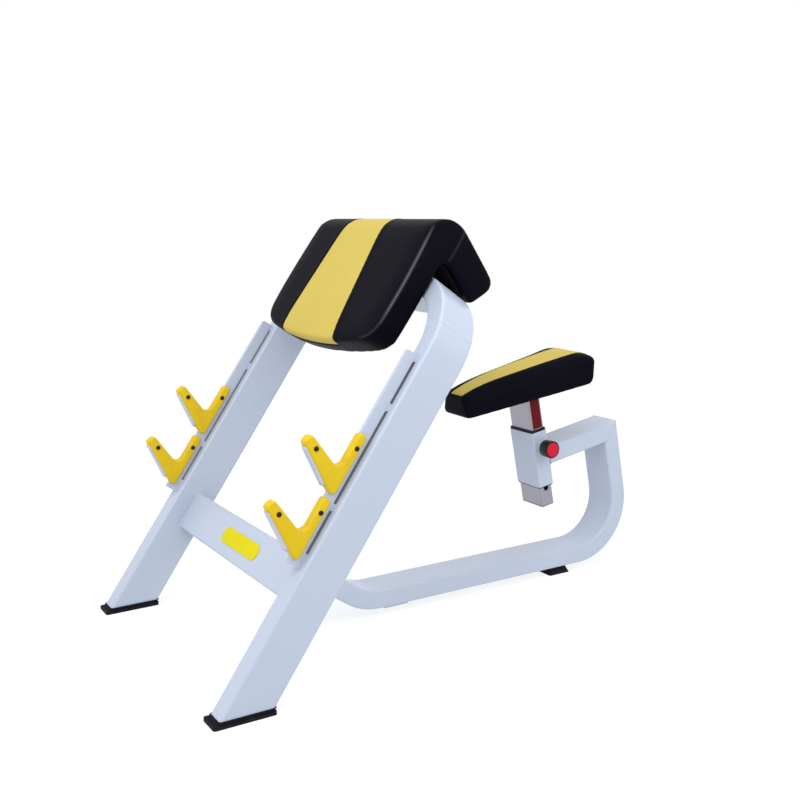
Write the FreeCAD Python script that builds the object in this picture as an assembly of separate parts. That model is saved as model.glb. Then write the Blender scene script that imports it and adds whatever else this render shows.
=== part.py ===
# Preacher curl bench: welded tube frame, tent-shaped arm pad, two-level bar hooks
# and a seat that slides up a tilted sleeve and is locked by a spring pin.
# Millimetres. X to the user's left and right, Y from the bar hooks back to the seat, Z up.
import FreeCAD
import Part
import math
import os

# Tube stock
TUBE_DEEP = 100.0
TUBE_THIN = 50.0
TUBE_WALL = 3.0
TUBE_CORNER = 6.0

# Legs: the front face of both legs passes through Y = 0, Z = 0 and leans back
LEAN = 35.2
LEG_X = 365.0
ELBOW_AT = 876.0
ELBOW_RADIUS = 153.0
CROSSBAR_AT = 277.0
CROSSBAR_BACK = 48.0

# Rubber shoes under the legs
SHOE_FLOOR = 6.0
SHOE_FLANGE = 8.0
SHOE_HIGH = 14.0
SHOE_COLLAR = 2.5
SHOE_MARGIN = 5.0

# Badge plate on the crossbar
BADGE_WIDE = 200.0
BADGE_HIGH = 40.0
BADGE_THICK = 1.5
BADGE_CORNER = 10.0

# Base rail: falls from the crossbar, runs along the floor and rises behind the seat
RAIL_AT = 344.0
RAIL_HIGH = 45.0
RAIL_RADIUS = 140.0
REST_BLOCK_FROM = 597.0
REST_BLOCK_LONG = 70.0
REST_BLOCK_WIDE = 64.0
REST_BLOCK_HIGH = 9.0

# Rear foot
FOOT_FROM = 1119.0
FOOT_LONG = 70.0
FOOT_WIDE = 98.0
FOOT_TAPER = 11.0
FOOT_SCREW_REACH = 30.0
FOOT_SCREW_SINK = 6.0

# Seat frame: the sleeve's axis passes this point, level with the seat arm's top, and tilts forward
TILT = 10.3
STEM_Y = 1084.0
STEM_Z = 364.0
LOCK_UP = 8.0
SLEEVE_UP = 51.0
SLEEVE_DOWN = 104.0
UPRIGHT_BACK = 271.0

# Seat post, its bushes and its lock holes
POST_WIDE = 90.0
POST_THICK = 40.0
POST_CORNER = 4.0
POST_DOWN = 159.0
POST_CLEAR = 0.2
BUSH_LONG = 30.0
BUSH_FLANGE_UP = 6.0
BUSH_FLANGE_DOWN = 3.0
BUSH_SETBACK = 1.5
HOLE_PITCH = 20.0
HOLE_COUNT = 7
HOLE_RADIUS = 5.5
STRIP_WIDE = 30.0
STRIP_THICK = 0.4
STRIP_GAP = 3.0
END_CAP_THICK = 4.0
END_CAP_DEPTH = 16.0

# Lock pin, its barrel and its knob, outwards along X from the sleeve
PIN_RADIUS = 5.0
PIN_REACH = 9.0
PIN_CHAMFER = 1.5
PIN_BORE_CLEAR = 0.1
COLLAR_RADIUS = 7.0
COLLAR_LONG = 3.0
BARREL_RADIUS = 10.0
BARREL_LONG = 30.0
BARREL_GAP = 0.8
BARREL_NOSE = 8.0
BARREL_CAP_LONG = 4.0
SPRING_CAVITY = 7.4
BOSS_RADIUS = 16.0
BOSS_LONG = 11.0
KNOB_RADIUS = 22.5
KNOB_FROM = 16.0
KNOB_LONG = 29.0
KNOB_EDGE = 2.5
KNOB_CLEAR = 0.4
KNOB_CAP_RADIUS = 18.0
KNOB_CAP_PROUD = 1.5
KNOB_CAP_EDGE = 1.2
SPRING_WIRE = 1.0

# Seat: plate, board and cushion stacked along the post
SEAT_UNDER = 155.0
SEAT_PLATE_LONG = 170.0
SEAT_PLATE_WIDE = 100.0
SEAT_PLATE_THICK = 6.0
SEAT_BOARD_THICK = 12.0
SEAT_WALL = 45.0
SEAT_DOME = 33.0
SEAT_FRONT = 212.0
SEAT_BACK = 154.0
SEAT_BULGE = 8.0
SEAT_OVERHANG = 27.0
SEAT_FRONT_HALF = 54.0
SEAT_BACK_HALF = 105.0
SEAT_CORNER = 14.0
SEAT_RIM = 15.0
SEAT_TUCK = 4.0
SEAT_TUCK_HIGH = 11.0
SEAT_STATIONS = 5
SEAT_CROWN_IN = 44.0
SEAT_NOSE = 160.0
SEAT_NOSE_POWER = 0.7
SEAT_BOLT_EDGE_X = 12.0
SEAT_BOLT_EDGE_Y = 17.0

# Arm pad: a long front slope parallel to the legs and a short rear wing
PAD_HALF = 266.0
PAD_OFF = 8.0
PAD_THICK = 63.0
PAD_DROP = 248.0
PAD_BELLY = 26.0
PAD_OVER = 44.0
PAD_BOARD = 15.0
PAD_RIM = 20.0
PAD_CROWN = 3.0
PAD_EDGE = 6.0
PAD_EDGE_POWER = 0.35
PAD_TOE = 13.0
PAD_TOE_BOW = 2.6
PAD_STATIONS = 6
WING_FALL = 22.2
WING_LONG = 134.0
WING_THICK = 82.0
WING_CORNER = 22.0
WING_CORNER_BOW = 4.4
WING_LEAN = 7.0
RIDGE_RADIUS = 58.0
SADDLE_END = 22.0
SADDLE_LONG = 80.0
SADDLE_WALL = 4.0
SADDLE_BOLT_AT = 42.0
SADDLE_BOLT_SPREAD = 20.0
SADDLE_CLEAR = 1.0
BRACKET_DROP = 42.0

# Bar hooks: a welded plate on each leg, with two moulded V liners
HOOK_PLATE = 10.0
HOOK_OUT = 31.0
HOOK_LOW = 352.0
HOOK_TOP = 857.0
HOOK_SLOT = 6.0
HOOK_TABS = ((HOOK_LOW, 386.0), (486.0, 502.0), (722.0, 740.0), (842.0, HOOK_TOP))
VEE_AT = 415.0
VEE_PITCH = 150.0
VEE_OUT = 35.0
VEE_ROUND = 16.0
LINER_WIDE = 24.0
LINER_REAR = 90.0
LINER_REAR_THICK = 20.0
LINER_FRONT = 103.0
LINER_FRONT_THICK = 24.0
LINER_BELLY = 43.0
LINER_HEEL = 30.0
LINER_TIP_ROUND = 9.0
STEEL_SHORT = 21.0
STEEL_PROUD = 4.0
SCREW_RADIUS = 3.0
SCREW_HEAD_RADIUS = 5.5
SCREW_HEAD_HIGH = 3.0
REAR_SCREW_AT = 57.0
FRONT_SCREW_AT = 73.0

# Shared bolts under the pads
BOLT_RADIUS = 4.0
BOLT_HEAD_RADIUS = 7.0
BOLT_HEAD_HIGH = 5.3
BOLT_BITE = 10.0

SIDES = (("left", -1), ("right", 1))
X_AXIS = FreeCAD.Vector(1, 0, 0)
Y_AXIS = FreeCAD.Vector(0, 1, 0)
Z_AXIS = FreeCAD.Vector(0, 0, 1)


# Small geometry helpers
def point(x, y, z):
    return FreeCAD.Vector(x, y, z)


def sin(degrees):
    return math.sin(math.radians(degrees))


def cos(degrees):
    return math.cos(math.radians(degrees))


def on_leg(out, along, x=0.0):
    """A point in the legs' own frame: out from the front face, along the leg."""
    return point(x, -out, along)


def leg_frame(shape):
    """Lean a shape drawn on upright legs back to the legs' real angle."""
    shape.rotate(point(0, 0, 0), X_AXIS, -LEAN)
    return shape


def seat_frame(shape):
    """Tilt a shape drawn on an upright post, and carry it to the seat arm's level."""
    shape.rotate(point(0, 0, 0), X_AXIS, TILT)
    shape.translate(point(0, STEM_Y, STEM_Z))
    return shape


def outline(corners, radii):
    """A closed wire through the corners, each rounded by its radius."""
    if not isinstance(radii, (list, tuple)):
        radii = [radii] * len(corners)
    edges = []
    ends = []
    for i, corner in enumerate(corners):
        back = (corners[i - 1] - corner).normalize()
        ahead = (corners[(i + 1) % len(corners)] - corner).normalize()
        if radii[i] <= 0:
            ends.append((corner, corner))
            continue
        half = back.getAngle(ahead) / 2
        reach = radii[i] / math.tan(half)
        middle = (back + ahead).normalize()
        near = corner + middle * (radii[i] / math.sin(half) - radii[i])
        first = corner + back * reach
        last = corner + ahead * reach
        edges.append(Part.Arc(first, near, last).toShape())
        ends.append((first, last))
    for i in range(len(corners)):
        start = ends[i][1]
        stop = ends[(i + 1) % len(corners)][0]
        if start.distanceToPoint(stop) > 1e-6:
            edges.append(Part.makeLine(start, stop))
    return Part.Wire(Part.__sortEdges__(edges))


def rectangle(centre, across, up, wide, high, radius):
    """A rounded rectangle in the plane of two unit vectors."""
    signs = ((-1, -1), (1, -1), (1, 1), (-1, 1))
    corners = [centre + across * (a * wide / 2) + up * (b * high / 2) for a, b in signs]
    return outline(corners, radius)


def tube_section(centre, across, up, wide, high, radius=TUBE_CORNER, wall=TUBE_WALL):
    """The wall of a rectangular tube as a face."""
    outer = rectangle(centre, across, up, wide, high, radius)
    inner = rectangle(centre, across, up, wide - 2 * wall, high - 2 * wall, 0)
    return Part.makeFace([outer, inner], "Part::FaceMakerCheese")


def slab(wire, direction):
    """A solid plate from a flat wire."""
    return Part.Face(wire).extrude(direction)


def box(low, high):
    size = high - low
    return Part.makeBox(size.x, size.y, size.z, low)


def join(shapes):
    return shapes[0].multiFuse(shapes[1:]).removeSplitter()


def group(shapes):
    return Part.makeCompound(shapes)


def rod(radius, start, direction, length):
    return Part.makeCylinder(radius, length, start, direction)


def bolt(seat, direction, grip):
    """A hexagon bolt whose head sits behind a seat point and whose shank runs ahead of it."""
    side = direction.cross(X_AXIS).normalize()
    corners = []
    for i in range(6):
        turn = FreeCAD.Rotation(direction, 60 * i)
        corners.append(seat + turn.multVec(side) * BOLT_HEAD_RADIUS)
    head = slab(outline(corners, 0), direction * -BOLT_HEAD_HIGH)
    return head.fuse(rod(BOLT_RADIUS, seat, direction, grip))


# Sizes that follow from the driving dimensions
LEG_INNER = LEG_X - TUBE_THIN / 2
TOP_HALF = LEG_X - ELBOW_RADIUS
TOP_MID = ELBOW_AT + ELBOW_RADIUS
TOP_OVER = TOP_MID + TUBE_THIN / 2
CROSSBAR_MID = CROSSBAR_AT + TUBE_DEEP / 2
CROSSBAR_REAR = CROSSBAR_BACK + TUBE_THIN
RAIL_UNDER = RAIL_HIGH - TUBE_THIN / 2
UPRIGHT_MID = UPRIGHT_BACK - TUBE_THIN / 2
REAR_BEND_RISE = STEM_Z - RAIL_HIGH - RAIL_RADIUS
REAR_BEND_Y = STEM_Y + (UPRIGHT_MID - RAIL_RADIUS + REAR_BEND_RISE * sin(TILT)) / cos(TILT)
FRONT_Y = -SHOE_MARGIN
BACK_Y = REAR_BEND_Y + RAIL_RADIUS + TUBE_THIN / 2
MIDDLE_Y = (FRONT_Y + BACK_Y) / 2
POST_TOP = SEAT_UNDER - SEAT_PLATE_THICK
SEAT_BOLT_X = SEAT_PLATE_WIDE / 2 - SEAT_BOLT_EDGE_X
SEAT_BOLT_Y = SEAT_PLATE_LONG / 2 - SEAT_BOLT_EDGE_Y
SLEEVE_FACE = TUBE_DEEP / 2
POST_FACE = POST_WIDE / 2
PAD_FACE = PAD_OFF + PAD_THICK
PAD_CORNER_AT = TOP_OVER + PAD_OVER
PAD_LOW = PAD_CORNER_AT - PAD_DROP
SADDLE_FROM = TOP_HALF - SADDLE_END - SADDLE_LONG
WING_ALONG = on_leg(-cos(WING_FALL), -sin(WING_FALL))
WING_OUTWARD = on_leg(-sin(WING_FALL), cos(WING_FALL))
PAD_INNER = on_leg(PAD_OFF, PAD_CORNER_AT)


# Leg frame
def leg(side):
    """One leaning leg, cut level inside its shoe."""
    foot = on_leg(-TUBE_DEEP / 2, -TUBE_DEEP, side * LEG_X)
    section = tube_section(foot, X_AXIS, Y_AXIS, TUBE_THIN, TUBE_DEEP)
    tube = leg_frame(section.extrude(Z_AXIS * (ELBOW_AT + TUBE_DEEP)))
    reach = 4 * TUBE_DEEP
    below = box(point(-2 * reach, -reach, -reach), point(2 * reach, reach, SHOE_FLOOR))
    return tube.cut(below)


def elbow(side):
    """The quarter bend that turns a leg inwards under the arm pad."""
    start = on_leg(-TUBE_DEEP / 2, ELBOW_AT, side * LEG_X)
    section = tube_section(start, X_AXIS, Y_AXIS, TUBE_THIN, TUBE_DEEP)
    centre = on_leg(0, ELBOW_AT, side * TOP_HALF)
    return leg_frame(section.revolve(centre, Y_AXIS * -side, 90))


def top_tube():
    start = on_leg(-TUBE_DEEP / 2, TOP_MID, -TOP_HALF)
    section = tube_section(start, Y_AXIS, Z_AXIS, TUBE_DEEP, TUBE_THIN)
    return leg_frame(section.extrude(X_AXIS * 2 * TOP_HALF))


def crossbar():
    start = on_leg(-CROSSBAR_BACK - TUBE_THIN / 2, CROSSBAR_MID, -LEG_INNER)
    section = tube_section(start, Y_AXIS, Z_AXIS, TUBE_THIN, TUBE_DEEP)
    return leg_frame(section.extrude(X_AXIS * 2 * LEG_INNER))


def badge():
    """A bare plate on the crossbar's front face."""
    face = on_leg(-CROSSBAR_BACK, CROSSBAR_MID)
    wire = rectangle(face, X_AXIS, Z_AXIS, BADGE_WIDE, BADGE_HIGH, BADGE_CORNER)
    return leg_frame(slab(wire, Y_AXIS * -BADGE_THICK))


def leg_core(side, margin):
    """The leg's outline as a solid, grown by a margin."""
    foot = on_leg(-TUBE_DEEP / 2, -TUBE_DEEP, side * LEG_X)
    wide = TUBE_THIN + 2 * margin
    deep = TUBE_DEEP + 2 * margin
    wire = rectangle(foot, X_AXIS, Y_AXIS, wide, deep, TUBE_CORNER + margin)
    return leg_frame(slab(wire, Z_AXIS * 3 * TUBE_DEEP))


def shoe(side):
    """A rubber shoe: a flange on the floor and a collar that grips the leg."""
    reach = TUBE_DEEP / cos(LEAN)
    long = reach + SHOE_FLANGE * math.tan(math.radians(LEAN)) + 2 * SHOE_MARGIN
    middle = point(side * LEG_X, FRONT_Y + long / 2, 0)
    plan = rectangle(middle, X_AXIS, Y_AXIS, TUBE_THIN + 2 * SHOE_MARGIN, long, TUBE_CORNER)
    flange = slab(plan, Z_AXIS * SHOE_FLANGE)
    low = point(side * LEG_X - reach, -reach, 0)
    high = point(side * LEG_X + reach, 3 * reach, 0)
    layer = box(low + Z_AXIS * SHOE_FLANGE / 2, high + Z_AXIS * SHOE_HIGH)
    body = join([flange, leg_core(side, SHOE_COLLAR).common(layer)])
    pocket = box(low + Z_AXIS * SHOE_FLOOR, high + Z_AXIS * 2 * reach)
    return body.cut(leg_core(side, 0).common(pocket))


# Base rail, seat arm and sleeve
def run(pieces, section, place, length):
    """Extrude the section along the place's own Y, and return the place at its end."""
    piece = section.copy()
    piece.Placement = place
    ahead = place.Rotation.multVec(Y_AXIS) * length
    pieces.append(piece.extrude(ahead))
    return FreeCAD.Placement(place.Base + ahead, place.Rotation)


def turn(pieces, section, place, radius, degrees):
    """Sweep the section round a bend that lifts the tube, and return the place at its end."""
    piece = section.copy()
    piece.Placement = place
    centre = place.Base + place.Rotation.multVec(Z_AXIS) * radius
    pieces.append(piece.revolve(centre, X_AXIS, degrees))
    swing = FreeCAD.Rotation(X_AXIS, degrees)
    return FreeCAD.Placement(centre + swing.multVec(place.Base - centre), swing.multiply(place.Rotation))


def mitre_wedge(over):
    """All that lies over, or under, the mitre between the upright and the seat arm."""
    reach = 3 * TUBE_THIN
    lean = TUBE_DEEP * (1 if over else -1)
    high = point(-TUBE_DEEP, UPRIGHT_BACK + reach, reach)
    low = point(-TUBE_DEEP, UPRIGHT_BACK - reach, -reach)
    across = point(0, -2 * lean, 2 * lean)
    corners = [high, low, low + across, high + across]
    return seat_frame(slab(outline(corners, 0), X_AXIS * 2 * TUBE_DEEP))


def base_rail():
    """One bent tube: down from the crossbar, along the floor and up behind the seat."""
    section = tube_section(point(0, 0, 0), X_AXIS, Z_AXIS, TUBE_DEEP, TUBE_THIN)
    lean = FreeCAD.Rotation(X_AXIS, -LEAN)
    place = FreeCAD.Placement(lean.multVec(on_leg(-CROSSBAR_REAR, RAIL_AT)), lean)
    pieces = []
    drop = place.Base.z - RAIL_HIGH - RAIL_RADIUS * (1 - cos(LEAN))
    place = run(pieces, section, place, drop / sin(LEAN))
    place = turn(pieces, section, place, RAIL_RADIUS, LEAN)
    place = run(pieces, section, place, REAR_BEND_Y - place.Base.y)
    place = turn(pieces, section, place, RAIL_RADIUS, 90 + TILT)
    rise = (STEM_Z - place.Base.z) / cos(TILT) + (UPRIGHT_BACK + TUBE_DEEP) * sin(TILT)
    run(pieces, section, place, rise)
    return join(pieces).cut(mitre_wedge(True))


def seat_arm():
    """The short arm from the upright to the sleeve."""
    start = point(0, TUBE_THIN / 2, -TUBE_THIN / 2)
    section = tube_section(start, X_AXIS, Z_AXIS, TUBE_DEEP, TUBE_THIN)
    tube = seat_frame(section.extrude(Y_AXIS * UPRIGHT_BACK))
    return tube.cut(mitre_wedge(False))


def sleeve():
    start = point(0, 0, -SLEEVE_DOWN)
    section = tube_section(start, X_AXIS, Y_AXIS, TUBE_DEEP, TUBE_THIN)
    tube = section.extrude(Z_AXIS * (SLEEVE_UP + SLEEVE_DOWN))
    return seat_frame(tube.cut(rod(BARREL_RADIUS, on_pin(0), X_AXIS, TUBE_DEEP)))


def rest_block():
    """A steel block welded under the rail behind its front bend."""
    low = point(-REST_BLOCK_WIDE / 2, REST_BLOCK_FROM, RAIL_UNDER - REST_BLOCK_HIGH)
    return box(low, low + point(REST_BLOCK_WIDE, REST_BLOCK_LONG, REST_BLOCK_HIGH))


def foot_screw_places():
    middle = FOOT_FROM + FOOT_LONG / 2
    return [point(side * FOOT_SCREW_REACH, middle, FOOT_SCREW_SINK) for _, side in SIDES]


def rear_foot():
    """A tapered rubber foot under the rear of the rail, recessed for its two screws."""
    middle = point(0, FOOT_FROM + FOOT_LONG / 2, 0)
    low = rectangle(middle, X_AXIS, Y_AXIS, FOOT_WIDE, FOOT_LONG, TUBE_CORNER)
    up = middle + Z_AXIS * RAIL_UNDER
    high = rectangle(up, X_AXIS, Y_AXIS, FOOT_WIDE - FOOT_TAPER, FOOT_LONG - 2 * FOOT_TAPER, TUBE_CORNER)
    foot = Part.makeLoft([low, high], True, True)
    for place in foot_screw_places():
        foot = foot.cut(rod(SCREW_HEAD_RADIUS, point(place.x, place.y, 0), Z_AXIS, place.z + SCREW_HEAD_HIGH))
        foot = foot.cut(rod(SCREW_RADIUS, place, Z_AXIS, RAIL_UNDER))
    return foot


def foot_screws():
    """Pan-head screws that clamp the rear foot against the rail's underside."""
    screws = []
    for place in foot_screw_places():
        head = rod(SCREW_HEAD_RADIUS, place, Z_AXIS, SCREW_HEAD_HIGH)
        screws.append(head.fuse(rod(SCREW_RADIUS, place, Z_AXIS, RAIL_UNDER - place.z)))
    return group(screws)


# Bar hooks, drawn out from the leg's front face and along the leg
def vee_places():
    return (("lower", VEE_AT), ("upper", VEE_AT + VEE_PITCH))


def vee_axes():
    """Unit vectors along the rear arm, along the front arm, and out of each arm's back."""
    rear = on_leg(0, 1)
    front = on_leg(sin(2 * LEAN), cos(2 * LEAN))
    behind_rear = on_leg(-1, 0)
    behind_front = on_leg(cos(2 * LEAN), -sin(2 * LEAN))
    return rear, front, behind_rear, behind_front


def front_back_edge(vertex):
    """The tip and the foot of the liner's lower front edge."""
    front, behind_front = vee_axes()[1::2]
    tip = vertex + front * LINER_FRONT + behind_front * LINER_FRONT_THICK
    belly = vertex + on_leg(LINER_BELLY - VEE_OUT, -LINER_BELLY)
    return tip, belly


def hook_plate(side):
    """A laser-cut plate: a slotted strip along the leg with two arms that reach forward."""
    x = side * LEG_X - HOOK_PLATE / 2
    rear, front = vee_axes()[:2]
    lip = (rear + front).normalize() * ((VEE_OUT - HOOK_OUT) / sin(LEAN))
    strip = [on_leg(0, HOOK_LOW, x), on_leg(HOOK_OUT, HOOK_LOW, x),
             on_leg(HOOK_OUT, HOOK_TOP, x), on_leg(0, HOOK_TOP, x)]
    pieces = [slab(outline(strip, [0, 0, TUBE_CORNER, 0]), X_AXIS * HOOK_PLATE)]
    for _, along in vee_places():
        vertex = on_leg(VEE_OUT, along, x)
        tip, belly = front_back_edge(vertex)
        edge = (tip - belly).normalize()
        proud = edge.cross(X_AXIS) * STEEL_PROUD
        root = vertex - lip
        arm = [root, root + front * (LINER_FRONT - STEEL_SHORT),
               tip - edge * STEEL_SHORT + proud, belly + proud,
               on_leg(HOOK_OUT / 2, belly.z - STEEL_PROUD, x), on_leg(HOOK_OUT / 2, root.z, x)]
        wire = outline(arm, [0, STEEL_PROUD, STEEL_PROUD, TUBE_CORNER, 0, 0])
        pieces.append(slab(wire, X_AXIS * HOOK_PLATE))
    plate = join(pieces)
    for below, above in zip(HOOK_TABS, HOOK_TABS[1:]):
        slot = [on_leg(0, below[1], x), on_leg(HOOK_SLOT, below[1], x),
                on_leg(HOOK_SLOT, above[0], x), on_leg(0, above[0], x)]
        plate = plate.cut(slab(outline(slot, [0, HOOK_SLOT / 2, HOOK_SLOT / 2, 0]), X_AXIS * HOOK_PLATE))
    for start in screw_places(side):
        plate = plate.cut(rod(SCREW_RADIUS, start, X_AXIS, LINER_WIDE))
    return plate


def screw_places(side):
    """Where each liner screw enters the liner's left cheek on one leg."""
    rear, front, behind_rear, behind_front = vee_axes()
    places = []
    for _, along in vee_places():
        vertex = on_leg(VEE_OUT, along, side * LEG_X - LINER_WIDE / 2)
        places.append(vertex + rear * REAR_SCREW_AT + behind_rear * LINER_REAR_THICK / 2)
        places.append(vertex + front * FRONT_SCREW_AT + behind_front * LINER_FRONT_THICK / 2)
    return places


def hook_liner(side, along):
    """A moulded V channel that wraps the plate's edge and cradles the bar."""
    x = side * LEG_X - LINER_WIDE / 2
    rear, front, behind_rear, behind_front = vee_axes()
    vertex = on_leg(VEE_OUT, along, x)
    tip, belly = front_back_edge(vertex)
    rear_tip = vertex + rear * LINER_REAR
    rear_back = rear_tip + behind_rear * LINER_REAR_THICK
    heel = vertex + behind_rear * LINER_REAR_THICK - rear * LINER_HEEL
    corners = [vertex, rear_tip, rear_back, heel, belly, tip, vertex + front * LINER_FRONT]
    tips = [LINER_TIP_ROUND, LINER_TIP_ROUND]
    radii = [VEE_ROUND] + tips + [LINER_TIP_ROUND, VEE_ROUND] + tips
    liner = slab(outline(corners, radii), X_AXIS * LINER_WIDE)
    for start in screw_places(side):
        liner = liner.cut(rod(SCREW_RADIUS, start, X_AXIS, LINER_WIDE))
    return liner.cut(hook_plate(side))


def liner_screws():
    """Through screws with a low head on both cheeks of each liner."""
    screws = []
    for _, side in SIDES:
        for start in screw_places(side):
            shank = rod(SCREW_RADIUS, start, X_AXIS, LINER_WIDE)
            heads = [rod(SCREW_HEAD_RADIUS, start, X_AXIS * -1, SCREW_HEAD_HIGH),
                     rod(SCREW_HEAD_RADIUS, start + X_AXIS * LINER_WIDE, X_AXIS, SCREW_HEAD_HIGH)]
            screws.append(leg_frame(join([shank] + heads)))
    return group(screws)


# Arm pad and what carries it
def saddle_low(side):
    """The lower X end of the bracket and the saddle on one side."""
    return min(side * SADDLE_FROM, side * (SADDLE_FROM + SADDLE_LONG))


def bolt_pair(place, side):
    """Two bolt seats across a bracket, spread from its middle."""
    middle = saddle_low(side) + SADDLE_LONG / 2
    return [place + X_AXIS * (middle + way * SADDLE_BOLT_SPREAD) for way in (-1, 1)]


def pad_bracket(side):
    """A flat plate welded to the top tube's front face, under the front board."""
    low = saddle_low(side)
    foot = TOP_OVER - TUBE_THIN - BRACKET_DROP
    plate = box(point(low, -PAD_OFF, foot), point(low + SADDLE_LONG, 0, TOP_OVER))
    for seat in bracket_bolts(side):
        plate = plate.cut(rod(BOLT_RADIUS, seat, Y_AXIS * -1, PAD_OFF))
    return leg_frame(plate)


def bracket_bolts(side):
    return bolt_pair(on_leg(0, TOP_OVER - TUBE_THIN - BRACKET_DROP / 2), side)


def under_wing(out):
    """How far along the leg the wing board's underside is, at a distance out."""
    return PAD_CORNER_AT + (out - PAD_OFF) * math.tan(math.radians(WING_FALL))


def wing_saddle(side):
    """A folded wedge on the top tube that carries the rear wing's board."""
    low = saddle_low(side)
    near = -SADDLE_WALL
    far = -TUBE_DEEP + SADDLE_WALL
    slope = SADDLE_WALL / cos(WING_FALL)
    outer = [on_leg(near, TOP_OVER, low), on_leg(far, TOP_OVER, low),
             on_leg(far, under_wing(far), low), on_leg(near, under_wing(near), low)]
    inner_near = near - SADDLE_WALL
    floor = TOP_OVER + SADDLE_WALL
    inner_far = PAD_OFF + (floor + slope + SADDLE_CLEAR - PAD_CORNER_AT) / math.tan(math.radians(WING_FALL))
    inner = [on_leg(inner_near, floor, low), on_leg(inner_far, floor, low),
             on_leg(inner_far, under_wing(inner_far) - slope, low),
             on_leg(inner_near, under_wing(inner_near) - slope, low)]
    wedge = slab(outline(outer, 0), X_AXIS * SADDLE_LONG).cut(slab(outline(inner, 0), X_AXIS * SADDLE_LONG))
    for seat in saddle_bolts(side):
        wedge = wedge.cut(rod(BOLT_RADIUS, seat, WING_OUTWARD, SADDLE_WALL))
    return leg_frame(wedge)


def saddle_bolts(side):
    return bolt_pair(PAD_INNER + WING_ALONG * SADDLE_BOLT_AT - WING_OUTWARD * SADDLE_WALL, side)


def pad_bolts():
    """The bolts that hold both boards, heads on the steel side."""
    bolts = []
    for _, side in SIDES:
        for seat in bracket_bolts(side):
            bolts.append(leg_frame(bolt(seat, Y_AXIS * -1, PAD_OFF + BOLT_BITE)))
        for seat in saddle_bolts(side):
            bolts.append(leg_frame(bolt(seat, WING_OUTWARD, SADDLE_WALL + BOLT_BITE)))
    return group(bolts)


def front_board_block():
    half = PAD_HALF - PAD_RIM
    top = PAD_CORNER_AT + PAD_BOARD / cos(WING_FALL)
    return box(point(-half, -PAD_OFF - PAD_BOARD, PAD_LOW + PAD_RIM), point(half, -PAD_OFF, top))


def wing_board_block():
    half = PAD_HALF - PAD_RIM
    start = PAD_INNER - X_AXIS * half
    end = start + WING_ALONG * (WING_LONG - PAD_RIM)
    corners = [start, end, end + WING_OUTWARD * PAD_BOARD, start + on_leg(0, PAD_BOARD / cos(WING_FALL))]
    return slab(outline(corners, 0), X_AXIS * 2 * half)


def front_board():
    board = front_board_block()
    for _, side in SIDES:
        for seat in bracket_bolts(side):
            board = board.cut(rod(BOLT_RADIUS, seat, Y_AXIS * -1, PAD_OFF + BOLT_BITE))
    return leg_frame(board)


def wing_board():
    board = wing_board_block()
    for _, side in SIDES:
        for seat in saddle_bolts(side):
            board = board.cut(rod(BOLT_RADIUS, seat, WING_OUTWARD, SADDLE_WALL + BOLT_BITE))
    return leg_frame(board)


def bowed(start, stop, lift):
    """An arc between two points that bows out by a lift vector at its middle."""
    return Part.Arc(start, (start + stop) * 0.5 + lift, stop).toShape()


def pad_section(x, inset):
    """One closed section of the arm pad, drawn in by an inset at its soft edges."""
    here = X_AXIS * x
    down = on_leg(0, -1)
    low = PAD_LOW - PAD_BELLY * (1 - (x / PAD_HALF) ** 2) + inset
    face = PAD_FACE - inset
    cover = WING_THICK - inset
    inner = PAD_INNER + here
    foot = on_leg(PAD_OFF, low) + here
    shin = on_leg(face - PAD_TOE, low - PAD_CROWN) + here
    toe = on_leg(face - PAD_CROWN, low + PAD_TOE) + here
    apex_along = PAD_CORNER_AT + (cover + (face - PAD_OFF) * sin(WING_FALL)) / cos(WING_FALL)
    apex = on_leg(face, apex_along) + here
    half_angle = (90 - WING_FALL) / 2
    reach = RIDGE_RADIUS / math.tan(math.radians(half_angle))
    brow = apex + down * reach
    nape = apex + WING_ALONG * reach
    crest = apex + (down + WING_ALONG).normalize() * RIDGE_RADIUS * (1 / sin(half_angle) - 1)
    heel = inner + WING_ALONG * (WING_LONG - inset)
    tip = heel + WING_OUTWARD * (cover - WING_CORNER) + WING_ALONG * WING_LEAN
    shoulder = heel + WING_OUTWARD * cover - WING_ALONG * (WING_CORNER - WING_LEAN)
    corner = (WING_ALONG + WING_OUTWARD) * WING_CORNER_BOW
    edges = [Part.makeLine(inner, foot),
             Part.makeLine(foot, shin),
             bowed(shin, toe, on_leg(PAD_TOE_BOW, -PAD_TOE_BOW)),
             bowed(toe, brow, on_leg(PAD_CROWN, 0)),
             Part.Arc(brow, crest, nape).toShape(),
             bowed(nape, shoulder, WING_OUTWARD * PAD_CROWN),
             bowed(shoulder, tip, corner),
             Part.makeLine(tip, heel),
             Part.makeLine(heel, inner)]
    return Part.Wire(edges)


def arm_pad():
    """The tent-shaped cushion, lofted across its width and hollowed for its boards."""
    sections = []
    for i in range(-PAD_STATIONS, PAD_STATIONS + 1):
        turn_by = 90 * i / PAD_STATIONS
        inset = PAD_EDGE * (1 - max(cos(turn_by), 0) ** PAD_EDGE_POWER)
        sections.append(pad_section(PAD_HALF * sin(turn_by), inset))
    cushion = Part.makeLoft(sections, True, True)
    return leg_frame(cushion.cut(front_board_block()).cut(wing_board_block()))


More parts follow.
